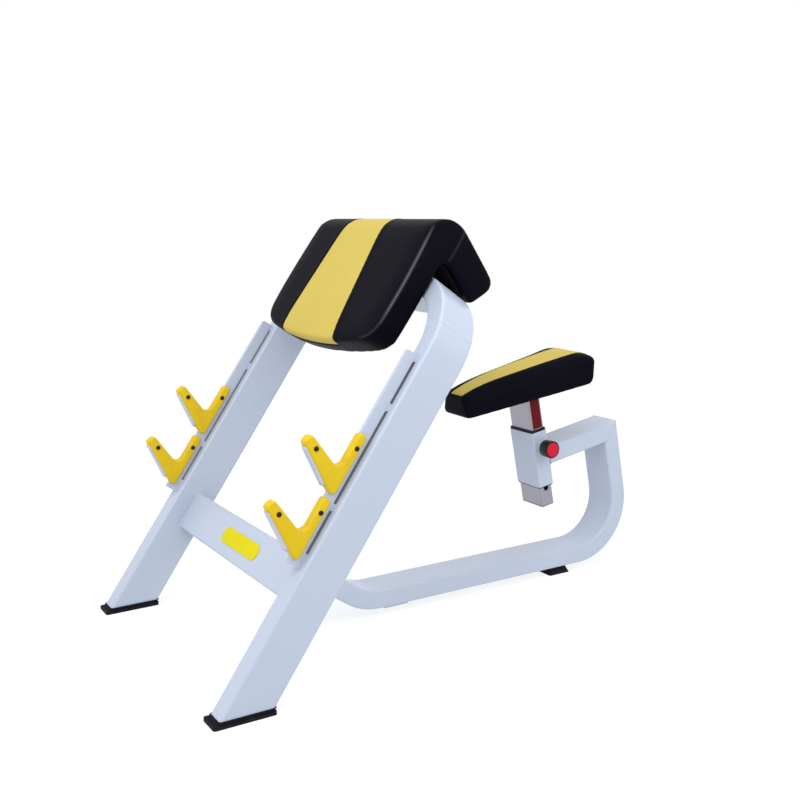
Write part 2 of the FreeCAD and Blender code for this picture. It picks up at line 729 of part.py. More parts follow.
# Sleeve bushes and seat post
def bush(end, flange, upwards):
    """A plastic bush: a liner inside the sleeve and a flange on the sleeve's end."""
    way = 1 if upwards else -1
    inner_wide = TUBE_DEEP - 2 * TUBE_WALL
    inner_deep = TUBE_THIN - 2 * TUBE_WALL
    start = point(0, 0, end - way * BUSH_LONG)
    sleeve_part = rectangle(start, X_AXIS, Y_AXIS, inner_wide, inner_deep, TUBE_CORNER - TUBE_WALL)
    rim = rectangle(point(0, 0, end), X_AXIS, Y_AXIS, TUBE_DEEP - 2 * BUSH_SETBACK,
                    TUBE_THIN - 2 * BUSH_SETBACK, TUBE_CORNER - BUSH_SETBACK)
    bore = rectangle(point(0, 0, end - way * 2 * BUSH_LONG), X_AXIS, Y_AXIS, POST_WIDE + 2 * POST_CLEAR,
                     POST_THICK + 2 * POST_CLEAR, POST_CORNER + POST_CLEAR)
    body = join([slab(sleeve_part, Z_AXIS * way * BUSH_LONG), slab(rim, Z_AXIS * way * flange)])
    return seat_frame(body.cut(slab(bore, Z_AXIS * way * 4 * BUSH_LONG)))


def seat_post():
    """The sliding post, with a row of lock holes in its right wall."""
    start = point(0, 0, -POST_DOWN)
    section = tube_section(start, X_AXIS, Y_AXIS, POST_WIDE, POST_THICK, POST_CORNER)
    tube = section.extrude(Z_AXIS * (POST_DOWN + POST_TOP))
    for i in range(HOLE_COUNT):
        hole = on_pin(0) - Z_AXIS * i * HOLE_PITCH
        tube = tube.cut(rod(HOLE_RADIUS, hole, X_AXIS, TUBE_DEEP))
    return seat_frame(tube)


def post_strip():
    """A coloured height strip on the post's right face, above the sleeve at rest."""
    low = SLEEVE_UP + BUSH_FLANGE_UP + STRIP_GAP
    start = point(POST_FACE, -STRIP_WIDE / 2, low)
    return seat_frame(box(start, point(POST_FACE + STRIP_THICK, STRIP_WIDE / 2, POST_TOP)))


def post_cap():
    """A plastic plug in the post's open lower end."""
    end = point(0, 0, -POST_DOWN)
    rim = rectangle(end, X_AXIS, Y_AXIS, POST_WIDE, POST_THICK, POST_CORNER)
    plug = rectangle(end, X_AXIS, Y_AXIS, POST_WIDE - 2 * TUBE_WALL, POST_THICK - 2 * TUBE_WALL,
                     POST_CORNER - TUBE_WALL)
    return seat_frame(join([slab(rim, Z_AXIS * -END_CAP_THICK), slab(plug, Z_AXIS * END_CAP_DEPTH)]))


# Lock pin, drawn along X with the sleeve's right face at SLEEVE_FACE
def on_pin(x):
    """A point on the lock pin's axis."""
    return point(x, 0, LOCK_UP)


def pin_boss():
    """The welded boss that the barrel screws into."""
    start = on_pin(SLEEVE_FACE)
    ring = rod(BOSS_RADIUS, start, X_AXIS, BOSS_LONG)
    return seat_frame(ring.cut(rod(BARREL_RADIUS, start, X_AXIS, BOSS_LONG)))


def barrel_ends():
    """Where the barrel starts inside the sleeve, and where its spring cavity starts and ends."""
    start = POST_FACE + BARREL_GAP
    return start, SLEEVE_FACE + BARREL_NOSE, SLEEVE_FACE + BARREL_LONG


def pin_barrel():
    start, cavity, end = barrel_ends()
    tube = rod(BARREL_RADIUS, on_pin(start), X_AXIS, end - start)
    tube = tube.cut(rod(PIN_RADIUS + PIN_BORE_CLEAR, on_pin(start), X_AXIS, end - start))
    return seat_frame(tube.cut(rod(SPRING_CAVITY, on_pin(cavity), X_AXIS, end - cavity)))


def barrel_cap():
    """The ring that closes the barrel behind its spring."""
    end = barrel_ends()[2]
    ring = rod(BARREL_RADIUS, on_pin(end), X_AXIS, BARREL_CAP_LONG)
    return seat_frame(ring.cut(rod(PIN_RADIUS + PIN_BORE_CLEAR, on_pin(end), X_AXIS, BARREL_CAP_LONG)))


def plunger():
    """The pin itself: its nose in the post's hole, its collar under the spring, its tail in the knob."""
    cavity = barrel_ends()[1]
    tip = POST_FACE - PIN_REACH
    tail = SLEEVE_FACE + KNOB_FROM + KNOB_LONG - KNOB_CAP_PROUD - PIN_RADIUS
    shaft = rod(PIN_RADIUS, on_pin(tip), X_AXIS, tail - tip)
    shaft = shaft.makeChamfer(PIN_CHAMFER, [min(shaft.Edges, key=lambda edge: edge.CenterOfMass.x)])
    collar = rod(COLLAR_RADIUS, on_pin(cavity + POST_CLEAR), X_AXIS, COLLAR_LONG)
    return seat_frame(join([shaft, collar]))


def pin_spring():
    """The coil spring between the plunger's collar and the barrel's cap, as its envelope."""
    _, cavity, end = barrel_ends()
    low = cavity + POST_CLEAR + COLLAR_LONG
    coil = rod(COLLAR_RADIUS, on_pin(low), X_AXIS, end - low)
    return seat_frame(coil.cut(rod(COLLAR_RADIUS - SPRING_WIRE, on_pin(low), X_AXIS, end - low)))


def knob():
    """The round pull knob, hollow over the barrel."""
    low = SLEEVE_FACE + KNOB_FROM
    high = low + KNOB_LONG
    body = rod(KNOB_RADIUS, on_pin(low), X_AXIS, KNOB_LONG)
    body = body.makeChamfer(KNOB_EDGE, [edge for edge in body.Edges if edge.Closed])
    hollow = barrel_ends()[2] + BARREL_CAP_LONG + KNOB_CLEAR - low
    body = body.cut(rod(BARREL_RADIUS + KNOB_CLEAR, on_pin(low), X_AXIS, hollow))
    tail = high - KNOB_CAP_PROUD - PIN_RADIUS
    body = body.cut(rod(PIN_RADIUS, on_pin(low), X_AXIS, tail - low))
    body = body.cut(rod(KNOB_CAP_RADIUS, on_pin(high - KNOB_CAP_PROUD), X_AXIS, KNOB_CAP_PROUD))
    return seat_frame(body)


def knob_cap():
    """The plain coloured disc in the knob's end."""
    start = on_pin(SLEEVE_FACE + KNOB_FROM + KNOB_LONG - KNOB_CAP_PROUD)
    disc = rod(KNOB_CAP_RADIUS, start, X_AXIS, 2 * KNOB_CAP_PROUD)
    far = [edge for edge in disc.Edges if edge.Closed and edge.CenterOfMass.x > start.x + KNOB_CAP_PROUD]
    return seat_frame(disc.makeChamfer(KNOB_CAP_EDGE, far))


# Seat
def seat_plan(inset, nose, rise):
    """The seat's rounded plan at a rise, drawn in all round and cut back at the nose."""
    height = SEAT_UNDER + rise
    front = -SEAT_FRONT + inset + nose
    back = SEAT_BACK - inset + SEAT_OVERHANG * rise / (SEAT_WALL + SEAT_DOME)
    spread = (SEAT_BACK_HALF - SEAT_FRONT_HALF) / (SEAT_BACK + SEAT_FRONT)
    front_half = SEAT_FRONT_HALF + spread * nose - inset
    back_half = SEAT_BACK_HALF - inset
    bulge = back + SEAT_BULGE
    right = [point(front_half, front, height), point(back_half, back, height),
             point(back_half / 2, bulge, height)]
    left = [point(-corner.x, corner.y, corner.z) for corner in reversed(right)]
    return outline(right + left, SEAT_CORNER)


def seat_board_block():
    return slab(seat_plan(SEAT_RIM, 0, 0), Z_AXIS * SEAT_BOARD_THICK)


def seat_bolt_places():
    return [point(a * SEAT_BOLT_X, b * SEAT_BOLT_Y, POST_TOP) for a in (-1, 1) for b in (-1, 1)]


def seat_plate():
    """The steel plate welded across the post's top."""
    middle = point(0, 0, POST_TOP)
    plate = slab(rectangle(middle, X_AXIS, Y_AXIS, SEAT_PLATE_WIDE, SEAT_PLATE_LONG, TUBE_CORNER),
                 Z_AXIS * SEAT_PLATE_THICK)
    for place in seat_bolt_places():
        plate = plate.cut(rod(BOLT_RADIUS, place, Z_AXIS, SEAT_PLATE_THICK))
    return seat_frame(plate)


def seat_board():
    board = seat_board_block()
    for place in seat_bolt_places():
        board = board.cut(rod(BOLT_RADIUS, place, Z_AXIS, SEAT_PLATE_THICK + BOLT_BITE))
    return seat_frame(board)


def seat_bolts():
    grip = SEAT_PLATE_THICK + BOLT_BITE
    return group([seat_frame(bolt(place, Z_AXIS, grip)) for place in seat_bolt_places()])


def seat_pad():
    """The domed seat cushion: tucked in below, upright at its wall, drawn in over its crown and nose."""
    plans = [seat_plan(SEAT_TUCK, 0, 0), seat_plan(0, 0, SEAT_TUCK_HIGH)]
    for i in range(SEAT_STATIONS + 1):
        turn_by = 90 * i / SEAT_STATIONS
        gone = 1 - cos(turn_by)
        rise = SEAT_WALL + SEAT_DOME * sin(turn_by)
        plans.append(seat_plan(SEAT_CROWN_IN * gone, SEAT_NOSE * gone ** SEAT_NOSE_POWER, rise))
    cushion = Part.makeLoft(plans, True, True)
    return seat_frame(cushion.cut(seat_board_block()))


# Every node and its solid
def nodes():
    parts = {"top_tube": top_tube(), "crossbar": crossbar(), "badge": badge(), "base_rail": base_rail(),
             "seat_arm": seat_arm(), "sleeve": sleeve(), "rest_block": rest_block(),
             "rear_foot": rear_foot(), "foot_screws": foot_screws(), "liner_screws": liner_screws(),
             "front_board": front_board(), "wing_board": wing_board(), "arm_pad": arm_pad(),
             "pad_bolts": pad_bolts(),
             "upper_bush": bush(SLEEVE_UP, BUSH_FLANGE_UP, True),
             "lower_bush": bush(-SLEEVE_DOWN, BUSH_FLANGE_DOWN, False),
             "seat_post": seat_post(), "post_strip": post_strip(), "post_cap": post_cap(),
             "seat_plate": seat_plate(), "seat_board": seat_board(), "seat_pad": seat_pad(),
             "seat_bolts": seat_bolts(), "pin_boss": pin_boss(), "pin_barrel": pin_barrel(),
             "barrel_cap": barrel_cap(), "plunger": plunger(), "pin_spring": pin_spring(),
             "knob": knob(), "knob_cap": knob_cap()}
    for name, side in SIDES:
        parts[name + "_leg"] = leg(side)
        parts[name + "_elbow"] = elbow(side)
        parts[name + "_shoe"] = shoe(side)
        parts[name + "_hook_plate"] = leg_frame(hook_plate(side))
        parts[name + "_pad_bracket"] = pad_bracket(side)
        parts[name + "_wing_saddle"] = wing_saddle(side)
        for level, along in vee_places():
            parts[name + "_" + level + "_liner"] = leg_frame(hook_liner(side, along))
    return parts


os.makedirs("parts", exist_ok=True)
for node, shape in nodes().items():
    shape.translate(point(0, -MIDDLE_Y, 0))
    shape.exportStep("parts/" + node + ".step")
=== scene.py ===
# %% [markdown]
# A preacher curl bench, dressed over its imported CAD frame. The steel work is already right
# in the CAD model, so most of it only needs a finish. The pads, the moulded bar rests, the
# welds, the screws, the plate, the knob and the lock spring are made here, as surfaces worked
# out with numpy.

# %% Load the frame
import math

import bmesh
import bpy
import numpy as np
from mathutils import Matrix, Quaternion, Vector
from mathutils.bvhtree import BVHTree


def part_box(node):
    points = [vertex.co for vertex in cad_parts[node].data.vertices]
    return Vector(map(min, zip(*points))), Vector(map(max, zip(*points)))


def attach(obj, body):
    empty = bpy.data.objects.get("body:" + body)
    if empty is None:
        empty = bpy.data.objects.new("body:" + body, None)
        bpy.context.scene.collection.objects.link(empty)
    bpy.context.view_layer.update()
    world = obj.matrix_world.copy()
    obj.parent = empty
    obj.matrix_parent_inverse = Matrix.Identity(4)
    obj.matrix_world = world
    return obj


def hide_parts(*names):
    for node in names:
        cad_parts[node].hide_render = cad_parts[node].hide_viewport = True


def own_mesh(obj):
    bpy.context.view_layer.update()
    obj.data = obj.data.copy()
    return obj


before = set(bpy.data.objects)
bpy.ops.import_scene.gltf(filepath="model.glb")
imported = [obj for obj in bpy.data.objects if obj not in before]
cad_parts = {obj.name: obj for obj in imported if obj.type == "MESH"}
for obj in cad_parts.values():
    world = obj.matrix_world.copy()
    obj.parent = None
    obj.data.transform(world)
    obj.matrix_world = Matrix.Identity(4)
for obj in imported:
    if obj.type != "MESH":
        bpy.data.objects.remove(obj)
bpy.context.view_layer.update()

# %% [markdown]
# The photograph was taken from the right front corner, a little above the seat. Blender's
# camera looks along its own -Z, so a tracking quaternion turns it to the view direction and
# a second one adds the small roll. The lens shift puts the optical centre where it was.

# %% Camera at the photograph's view
CAMERA_AT = Vector((2.2511, -1.3827, 1.0056))
CAMERA_AZIMUTH = math.radians(58.93)
CAMERA_PITCH = math.radians(10.42)
CAMERA_ROLL = math.radians(0.74)
FOCAL_PIXELS = 1067.2
FRAME_PIXELS = 800
SHIFT_PIXELS = (1.5, 5.1)
SENSOR_MM = 36.0

flat = math.cos(CAMERA_PITCH)
ahead = Vector((-math.sin(CAMERA_AZIMUTH) * flat, math.cos(CAMERA_AZIMUTH) * flat,
                -math.sin(CAMERA_PITCH)))
lens = bpy.data.cameras.new("photo_camera")
lens.sensor_width = SENSOR_MM
lens.lens = SENSOR_MM * FOCAL_PIXELS / FRAME_PIXELS
lens.shift_x, lens.shift_y = (shift / FRAME_PIXELS for shift in SHIFT_PIXELS)
camera = bpy.data.objects.new("photo_camera", lens)
camera.location = CAMERA_AT
camera.rotation_mode = "QUATERNION"
camera.rotation_quaternion = Quaternion(ahead, CAMERA_ROLL) @ ahead.to_track_quat("-Z", "Y")
bpy.context.scene.collection.objects.link(camera)
bpy.context.scene.camera = camera
print("lens", round(lens.lens, 2), "mm")

# %% [markdown]
# Two local frames carry all the new pieces. On the legs, "along" climbs the front face and
# "out" leaves it. On the seat post, z climbs the tilted post from the seat arm's level. Both
# are plain rotations about X, written once for whole arrays. The two ways back hold nothing
# but sums, so the shader values of the next cell can go through them as well.

# %% Local frames
POST_TILT = math.radians(10.3)
LEAN = math.radians(35.2)
SHOE_MARGIN = 0.005
FOOT_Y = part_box("right_shoe")[0].y + SHOE_MARGIN
STEM_FROM_FOOT = 1.084
STEM_Y = FOOT_Y + STEM_FROM_FOOT
STEM_Z = 0.364


def from_leg(x, out, along):
    """Leg frame to the bench's frame: out and along turned by the lean about X."""
    y = FOOT_Y + along * math.sin(LEAN) - out * math.cos(LEAN)
    z = along * math.cos(LEAN) + out * math.sin(LEAN)
    return np.stack(np.broadcast_arrays(x, y, z), axis=-1)


def to_leg(x, y, z):
    """The bench's frame back to x, out and along."""
    back = y - FOOT_Y
    out = z * math.sin(LEAN) - back * math.cos(LEAN)
    along = z * math.cos(LEAN) + back * math.sin(LEAN)
    return x, out, along


def from_post(x, y, z):
    """Post frame to the bench's frame: tilted about X, then carried to the seat arm."""
    back = y * math.cos(POST_TILT) - z * math.sin(POST_TILT)
    up = y * math.sin(POST_TILT) + z * math.cos(POST_TILT)
    return np.stack(np.broadcast_arrays(x, STEM_Y + back, STEM_Z + up), axis=-1)


def to_post(x, y, z):
    """The bench's frame back to the post's x, y and z."""
    back = y - STEM_Y
    up = z - STEM_Z
    across = back * math.cos(POST_TILT) + up * math.sin(POST_TILT)
    return x, across, up * math.cos(POST_TILT) - back * math.sin(POST_TILT)


# %% [markdown]
# Shader maths reads best as plain sums. The Value class below wraps one output socket, and
# each operator on it adds a Math node, so 1 - mask * 0.3 is written just like that. Every
# other node comes from Finish.node, which sets the node up first and then feeds its sockets.


# %% Shader sums
class Value:
    """One output socket of a finish; arithmetic on it adds Math nodes."""

    def __init__(self, finish, socket):
        self.finish = finish
        self.socket = socket

    def __add__(self, other):
        return self.finish.math("ADD", self, other)

    def __sub__(self, other):
        return self.finish.math("SUBTRACT", self, other)

    def __rsub__(self, other):
        return self.finish.math("SUBTRACT", other, self)

    def __mul__(self, other):
        return self.finish.math("MULTIPLY", self, other)

    def __truediv__(self, other):
        return self.finish.math("DIVIDE", self, other)

    def __pow__(self, other):
        return self.finish.math("POWER", self, other)

    __radd__ = __add__
    __rmul__ = __mul__


class Finish:
    """One material: a Principled shader and the nodes that feed it."""

    def __init__(self, name, **fixed):
        self.material = bpy.data.materials.new(name)
        self.material.use_nodes = True
        self.tree = self.material.node_tree
        self.shader = self.tree.nodes["Principled BSDF"]
        for socket, value in fixed.items():
            self.shader.inputs[socket.replace("_", " ")].default_value = value

    def node(self, kind, settings=None, out=0, **sockets):
        """Add a node: its settings first, then a value or a link for each named socket."""
        made = self.tree.nodes.new("ShaderNode" + kind)
        for key, value in (settings or {}).items():
            setattr(made, key, value)
        for key, value in sockets.items():
            place = int(key[1:]) if key[0] == "_" else key.replace("_", " ")
            self.feed(made.inputs[place], value)
        return Value(self, made.outputs[out])

    def feed(self, socket, value):
        if isinstance(value, Value):
            self.tree.links.new(value.socket, socket)
        else:
            socket.default_value = value

    def math(self, operation, first, second=0.0):
        return self.node("Math", {"operation": operation}, _0=first, _1=second)

    def step(self, value, low, high):
        """A smooth step of value from 0 at low to 1 at high."""
        settings = {"interpolation_type": "SMOOTHSTEP"}
        return self.node("MapRange", settings, Value=value, From_Min=low, From_Max=high)

    def here(self):
        """Object coordinates."""
        return self.node("TexCoord", out="Object")

    def xyz(self):
        """Object coordinates, taken apart."""
        return [self.node("SeparateXYZ", out=i, Vector=self.here()) for i in range(3)]

    def place(self, turn=(0, 0, 0), scale=(1, 1, 1)):
        """Object coordinates, turned and scaled."""
        return self.node("Mapping", Vector=self.here(), Rotation=turn, Scale=scale)

    def noise(self, scale, detail=3.0, vector=None):
        return self.node("TexNoise", Vector=vector or self.here(), Scale=scale, Detail=detail)

    def mix(self, share, first, second):
        """A colour between two colours."""
        return self.node("Mix", {"data_type": "RGBA"}, 2, _0=share, _6=first, _7=second)

    def bump(self, height, distance, strength=1.0):
        made = self.node("Bump", Height=height, Distance=distance, Strength=strength)
        self.set(Normal=made)

    def set(self, **sockets):
        for key, value in sockets.items():
            self.feed(self.shader.inputs[key.replace("_", " ")], value)


def shade(colour, factor):
    """A colour with its brightness scaled, opaque."""
    return (*(c * factor for c in colour), 1.0)


# %% [markdown]
# The frame is powder coated: a hard white skin with a faint orange peel and a cool cast.
# Real coating is never one flat tone, so a broad noise shifts its shade a little, a finer
# one gives the peel, and a sparse stretched one leaves rubbed marks of lower gloss.
# On the hook plates and legs, the slots between the tabs are painted dark grey as painted shade.


# %% Powder coat
WHITE = (0.408, 0.462, 0.570)
# A lighter copy of the white coat for the ground elbow welds: a painted highlight line.
SEAM_HIGHLIGHT_WHITE = (0.530, 0.600, 0.741)
BLACK_PAINT = (0.012, 0.012, 0.015)
# The dark grey painted into the slots under the hook plates: painted shade.
SLOT_SHADE_GREY = (0.085, 0.09, 0.10, 1)
LEG_X = 0.365
HOOK_TABS = ((0.352, 0.386), (0.486, 0.502), (0.722, 0.740), (0.842, 0.857))
SLOT_CHEEK = (0.0052, 0.0056)
SLOT_FLOOR = (-0.001, -0.0002)
SLOT_TOP = (0.0061, 0.0066)
SLOT_FADE = 0.001
PAINT_GLOSS, BLACK_GLOSS = 0.24, 0.38


def slot_painted_shade(finish):
    """Painted shade: 1 in the narrow slots between the tabs that join the hook plates to the legs,
    0 elsewhere.
    """
    x, out, along = to_leg(*finish.xyz())
    off_plate = finish.math("ABSOLUTE", finish.math("ABSOLUTE", x) - LEG_X)
    inside = (1 - finish.step(off_plate, *SLOT_CHEEK)) * finish.step(out, *SLOT_FLOOR)
    inside = inside * (1 - finish.step(out, *SLOT_TOP))
    slots = [(tab[1], after[0]) for tab, after in zip(HOOK_TABS, HOOK_TABS[1:])]
    between = sum(finish.step(along, low, low + SLOT_FADE)
                  * (1 - finish.step(along, high - SLOT_FADE, high)) for low, high in slots)
    return inside * between


def powder_coat(name, colour, gloss, slots=False):
    finish = Finish(name, Coat_Weight=0.12, Coat_Roughness=0.12, Specular_IOR_Level=0.3)
    broad = finish.noise(3.0, 2.0)
    rubs = finish.step(finish.noise(150.0, 5.0, finish.place(scale=(1, 0.2, 0.2))), 0.55, 0.80)
    base = finish.mix(broad, shade(colour, 0.965), shade(colour, 1.03))
    base = finish.mix(rubs * 0.05, base, shade(colour, 0.85))
    # With slots set, the gaps under the hook plates are painted dark grey: painted shade.
    if slots:
        base = finish.mix(slot_painted_shade(finish) * 0.92, base, SLOT_SHADE_GREY)
    finish.set(Base_Color=base, Roughness=gloss + broad * 0.08 + rubs * 0.12)
    finish.bump(finish.noise(420.0, 2.0), 0.00025, 0.35)
    return finish.material


white_paint = powder_coat("white_paint", WHITE, PAINT_GLOSS)
seam_highlight_paint = powder_coat("seam_highlight_paint", SEAM_HIGHLIGHT_WHITE, PAINT_GLOSS)
hook_paint = powder_coat("hook_paint", WHITE, PAINT_GLOSS, slots=True)
black_paint = powder_coat("black_paint", BLACK_PAINT, BLACK_GLOSS)

# %% [markdown]
# The seat post is satin plated and brushed along its length. Stretching the coordinates
# along the post turns plain noise into fine scratches; turning them by the post's tilt
# first keeps the scratches parallel to it.


# %% Metals
HOLE_PITCH = 0.020
HOLE_COUNT = 7
GREASE_RADIUS = 0.0085
GREASE = (0.012, 0.012, 0.014, 1)
LOCK_UP = 0.008
ALONG_POST = (900, 900, 9)


def grease_ring(finish):
    """1 round the post's lock holes, whose rings repeat down the post at the holes' pitch."""
    _, across, up = to_post(*finish.xyz())
    down = LOCK_UP - up
    turns = finish.math("ROUND", down / HOLE_PITCH)
    turns = finish.math("MINIMUM", finish.math("MAXIMUM", turns, 0.0), HOLE_COUNT - 1.0)
    off = down - turns * HOLE_PITCH
    away = (across * across + off * off) ** 0.5
    return 1 - finish.step(away, GREASE_RADIUS * 0.8, GREASE_RADIUS * 1.15)


def brushed(name, colour, stretch, rough, turn=(0, 0, 0), greased=False):
    finish = Finish(name, Metallic=1.0)
    lines = finish.noise(1.0, 4.0, finish.place(turn, stretch))
    stain = finish.noise(24.0, 4.0)
    base = finish.mix(lines, shade(colour, 0.88), shade(colour, 1.08))
    if greased:
        base = finish.mix(grease_ring(finish) * 0.93, base, GREASE)
    finish.set(Base_Color=base, Roughness=rough + lines * 0.14 + stain * 0.10)
    finish.bump(lines, 0.00012, 0.4)
    return finish.material


plated_post = brushed("plated_post", (0.34, 0.335, 0.39), ALONG_POST, 0.24,
                      turn=(-POST_TILT, 0, 0), greased=True)
zinc_steel = brushed("zinc_steel", (0.42, 0.42, 0.44), (700, 700, 700), 0.34)
dark_screw = brushed("dark_screw", (0.040, 0.034, 0.024), (800, 800, 800), 0.36)

# %% [markdown]
# The moulded pieces share one recipe: a base colour with faint flow marks, a fine spark
# grain from the mould and a roughness that follows it. Rubber is darker and rougher, and
# gathers pale dust close to the floor, which a smooth step on the height gives.


# %% Plastics and rubber
def moulded(name, colour, rough, grain, shine=0.5):
    finish = Finish(name, Specular_IOR_Level=shine)
    flow = finish.noise(16.0, 3.0)
    spark = finish.noise(grain, 2.0)
    finish.set(Base_Color=finish.mix(flow, shade(colour, 0.93), shade(colour, 1.06)))
    finish.set(Roughness=rough + flow * 0.06 + spark * 0.10)
    finish.bump(spark, 0.0003, 0.4)
    return finish


RUBBER = (0.0075, 0.0070, 0.0115)
FLOOR_DUST = (0.06, 0.058, 0.055, 1)
DUST_HIGH = 0.012


def rubber(name):
    finish = moulded(name, RUBBER, 0.55, 900.0, 0.06)
    low = 1 - finish.step(finish.xyz()[2], 0.0, DUST_HIGH)
    dust = low * finish.step(finish.noise(60.0, 4.0), 0.35, 0.75)
    finish.set(Base_Color=finish.mix(dust * 0.25, shade(RUBBER, 1.0), FLOOR_DUST))
    return finish.material


rubber_black = rubber("rubber_black")
nylon_black = moulded("nylon_black", (0.009, 0.009, 0.012), 0.42, 800.0, 0.1).material
cap_grey = moulded("cap_grey", (0.20, 0.20, 0.23), 0.42, 800.0, 0.2).material
knob_black = moulded("knob_black", (0.007, 0.006, 0.009), 0.28, 1100.0, 0.2).material
knob_red = moulded("knob_red", (0.50, 0.006, 0.028), 0.24, 1300.0, 0.15).material
strip_red = moulded("strip_red", (0.110, 0.004, 0.006), 0.28, 1000.0, 0.1).material
badge_yellow = moulded("badge_yellow", (0.59, 0.53, 0.005), 0.34, 900.0, 0.04).material

# %% [markdown]
# From below, the boards under the pads are closed by a black backing cloth, as upholsterers
# staple one over the raw edges. Two crossed waves make its weave, and noise its lint.


# %% Backing cloth
LINT_DARK, LINT_PALE = (0.008, 0.008, 0.010, 1), (0.018, 0.018, 0.021, 1)
WEAVE = 260.0


def backing_finish(name):
    finish = Finish(name, Roughness=0.85, Specular_IOR_Level=0.1)
    here = finish.here()
    warp, weft = (finish.node("TexWave", {"bands_direction": way}, Vector=here, Scale=WEAVE)
                  for way in "XZ")
    lint = finish.noise(120.0, 4.0)
    finish.set(Base_Color=finish.mix(lint, LINT_DARK, LINT_PALE))
    finish.bump(warp * weft, 0.0003, 0.5)
    return finish.material


backing_cloth = backing_finish("backing_cloth")

# %% [markdown]
# Every CAD node that stays in view takes one of these finishes. The nodes are grouped by
# finish here, and a node's mesh is left alone: only its material slots change.

# %% Finishes on the CAD nodes
SIDES = ("left", "right")


def both(*names):
    return [f"{side}_{name}" for side in SIDES for name in names]


finish_nodes = [
    (hook_paint, both("leg", "hook_plate")),
    (white_paint, both("elbow") + ["top_tube", "crossbar", "base_rail", "seat_arm", "sleeve",
                                   "rest_block", "pin_boss"]),
    (black_paint, both("pad_bracket", "wing_saddle") + ["seat_plate"]),
    (plated_post, ["seat_post", "plunger", "pin_barrel", "barrel_cap"]),
    (zinc_steel, ["pad_bolts", "seat_bolts", "foot_screws"]),
    (rubber_black, both("shoe") + ["rear_foot"]),
    (nylon_black, ["upper_bush", "lower_bush"]),
    (cap_grey, ["post_cap"]),
    (strip_red, ["post_strip"]),
    (backing_cloth, ["front_board", "wing_board", "seat_board"]),
]
for material, names in finish_nodes:
    for name in names:
        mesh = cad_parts[name].data
        mesh.materials.clear()
        mesh.materials.append(material)
print("finished", sum(len(names) for _, names in finish_nodes), "CAD nodes")

# %% [markdown]
# Every new mesh starts as a grid of points: closed rings side by side, with quads between
# neighbours. All corners are rounded by one formula, a circle's arc as a rational curve.

# %% Meshes from arrays
SQUARE = np.array([[-1, -1], [1, -1], [1, 1], [-1, 1]])


def smoothstep(value, low, high):
    share = np.clip((value - low) / (high - low), 0, 1)
    return share * share * (3 - 2 * share)


def unit(vectors):
    return vectors / np.linalg.norm(vectors, axis=-1, keepdims=True)


def angles(count):
    """Evenly spaced angles of a full turn."""
    return np.arange(count) / count * 2 * math.pi


def arc(before, corner, after, weight, share):
    """The arc of a circle round a corner; weight is the sine of half the corner's angle."""
    first = (1 - share) ** 2
    middle = 2 * weight * share * (1 - share)
    last = share ** 2
    return (first * before + middle * corner + last * after) / (first + middle + last)


def corner_chain(corners, radii, count):
    """Closed chains of corners, each corner replaced by an arc of its own radius."""
    back = unit(np.roll(corners, 1, axis=-2) - corners)
    onward = unit(np.roll(corners, -1, axis=-2) - corners)
    half = np.arccos(np.clip((back * onward).sum(-1, keepdims=True), -1, 1)) / 2
    reach = np.reshape(radii, (-1, 1)) / np.tan(half)
    parts = (corners + back * reach, corners, corners + onward * reach, np.sin(half))
    before, corner, after, weight = (part[..., None, :] for part in parts)
    points = arc(before, corner, after, weight, np.linspace(0, 1, count)[:, None])
    return points.reshape(*corners.shape[:-2], -1, 2)


def rounded_rims(half, radius, count):
    """x near both ends of a width, and how far a quarter circle draws the section in there."""
    turn = np.linspace(0, math.pi / 2, count)
    x = half - radius + radius * np.sin(turn)
    inset = radius * (1 - np.cos(turn))
    return np.concatenate([-x[::-1], x]), np.concatenate([inset[::-1], inset])


def ring_faces(rings, around, wrap):
    """Quads between neighbouring closed rings of a grid; wrap joins the last ring to the first."""
    row = np.arange(rings if wrap else rings - 1)[:, None]
    here = np.arange(around)[None, :]
    after = (here + 1) % around
    upper = (row + 1) % rings * around
    row = row * around
    quads = np.stack([row + here, row + after, upper + after, upper + here], axis=-1)
    return quads.reshape(-1, 4)


def make_piece(name, points, faces, material=None):
    """A mesh object at the origin from an array of points and lists of faces."""
    mesh = bpy.data.meshes.new(name)
    mesh.from_pydata(points.tolist(), [], [list(map(int, face)) for face in faces])
    mesh.validate()
    mesh.shade_smooth()
    if material is not None:
        mesh.materials.append(material)
    piece = bpy.data.objects.new(name, mesh)
    bpy.context.scene.collection.objects.link(piece)
    return piece


def joined(name, grids, material=None):
    """Grids of rings in one mesh, turned outwards; one that doesn't wrap has its ends filled."""
    faces, first = [], 0
    for grid, wrap in grids:
        rings, around = grid.shape[:2]
        faces += (ring_faces(rings, around, wrap) + first).tolist()
        if not wrap:
            faces.append(list(range(first, first + around))[::-1])
            faces.append(list(range(first + (rings - 1) * around, first + rings * around)))
        first += rings * around
    points = np.concatenate([grid.reshape(-1, 3) for grid, _ in grids])
    piece = make_piece(name, points, faces, material)
    work = bmesh.new()
    work.from_mesh(piece.data)
    bmesh.ops.recalc_face_normals(work, faces=work.faces)
    work.to_mesh(piece.data)
    work.free()
    return piece


# %% [markdown]
# The arm pad is one tent-shaped cushion: a long slope in front of the legs, a rounded ridge
# and a shorter wing behind. Its section is a closed ring drawn in the leg frame, carried
# across the width. Towards the ends the ring shrinks to round the edges over, and the front
# slope's lower corners are rounded in plan, more at the face than at the base, as foam under
# a stretched cover is.

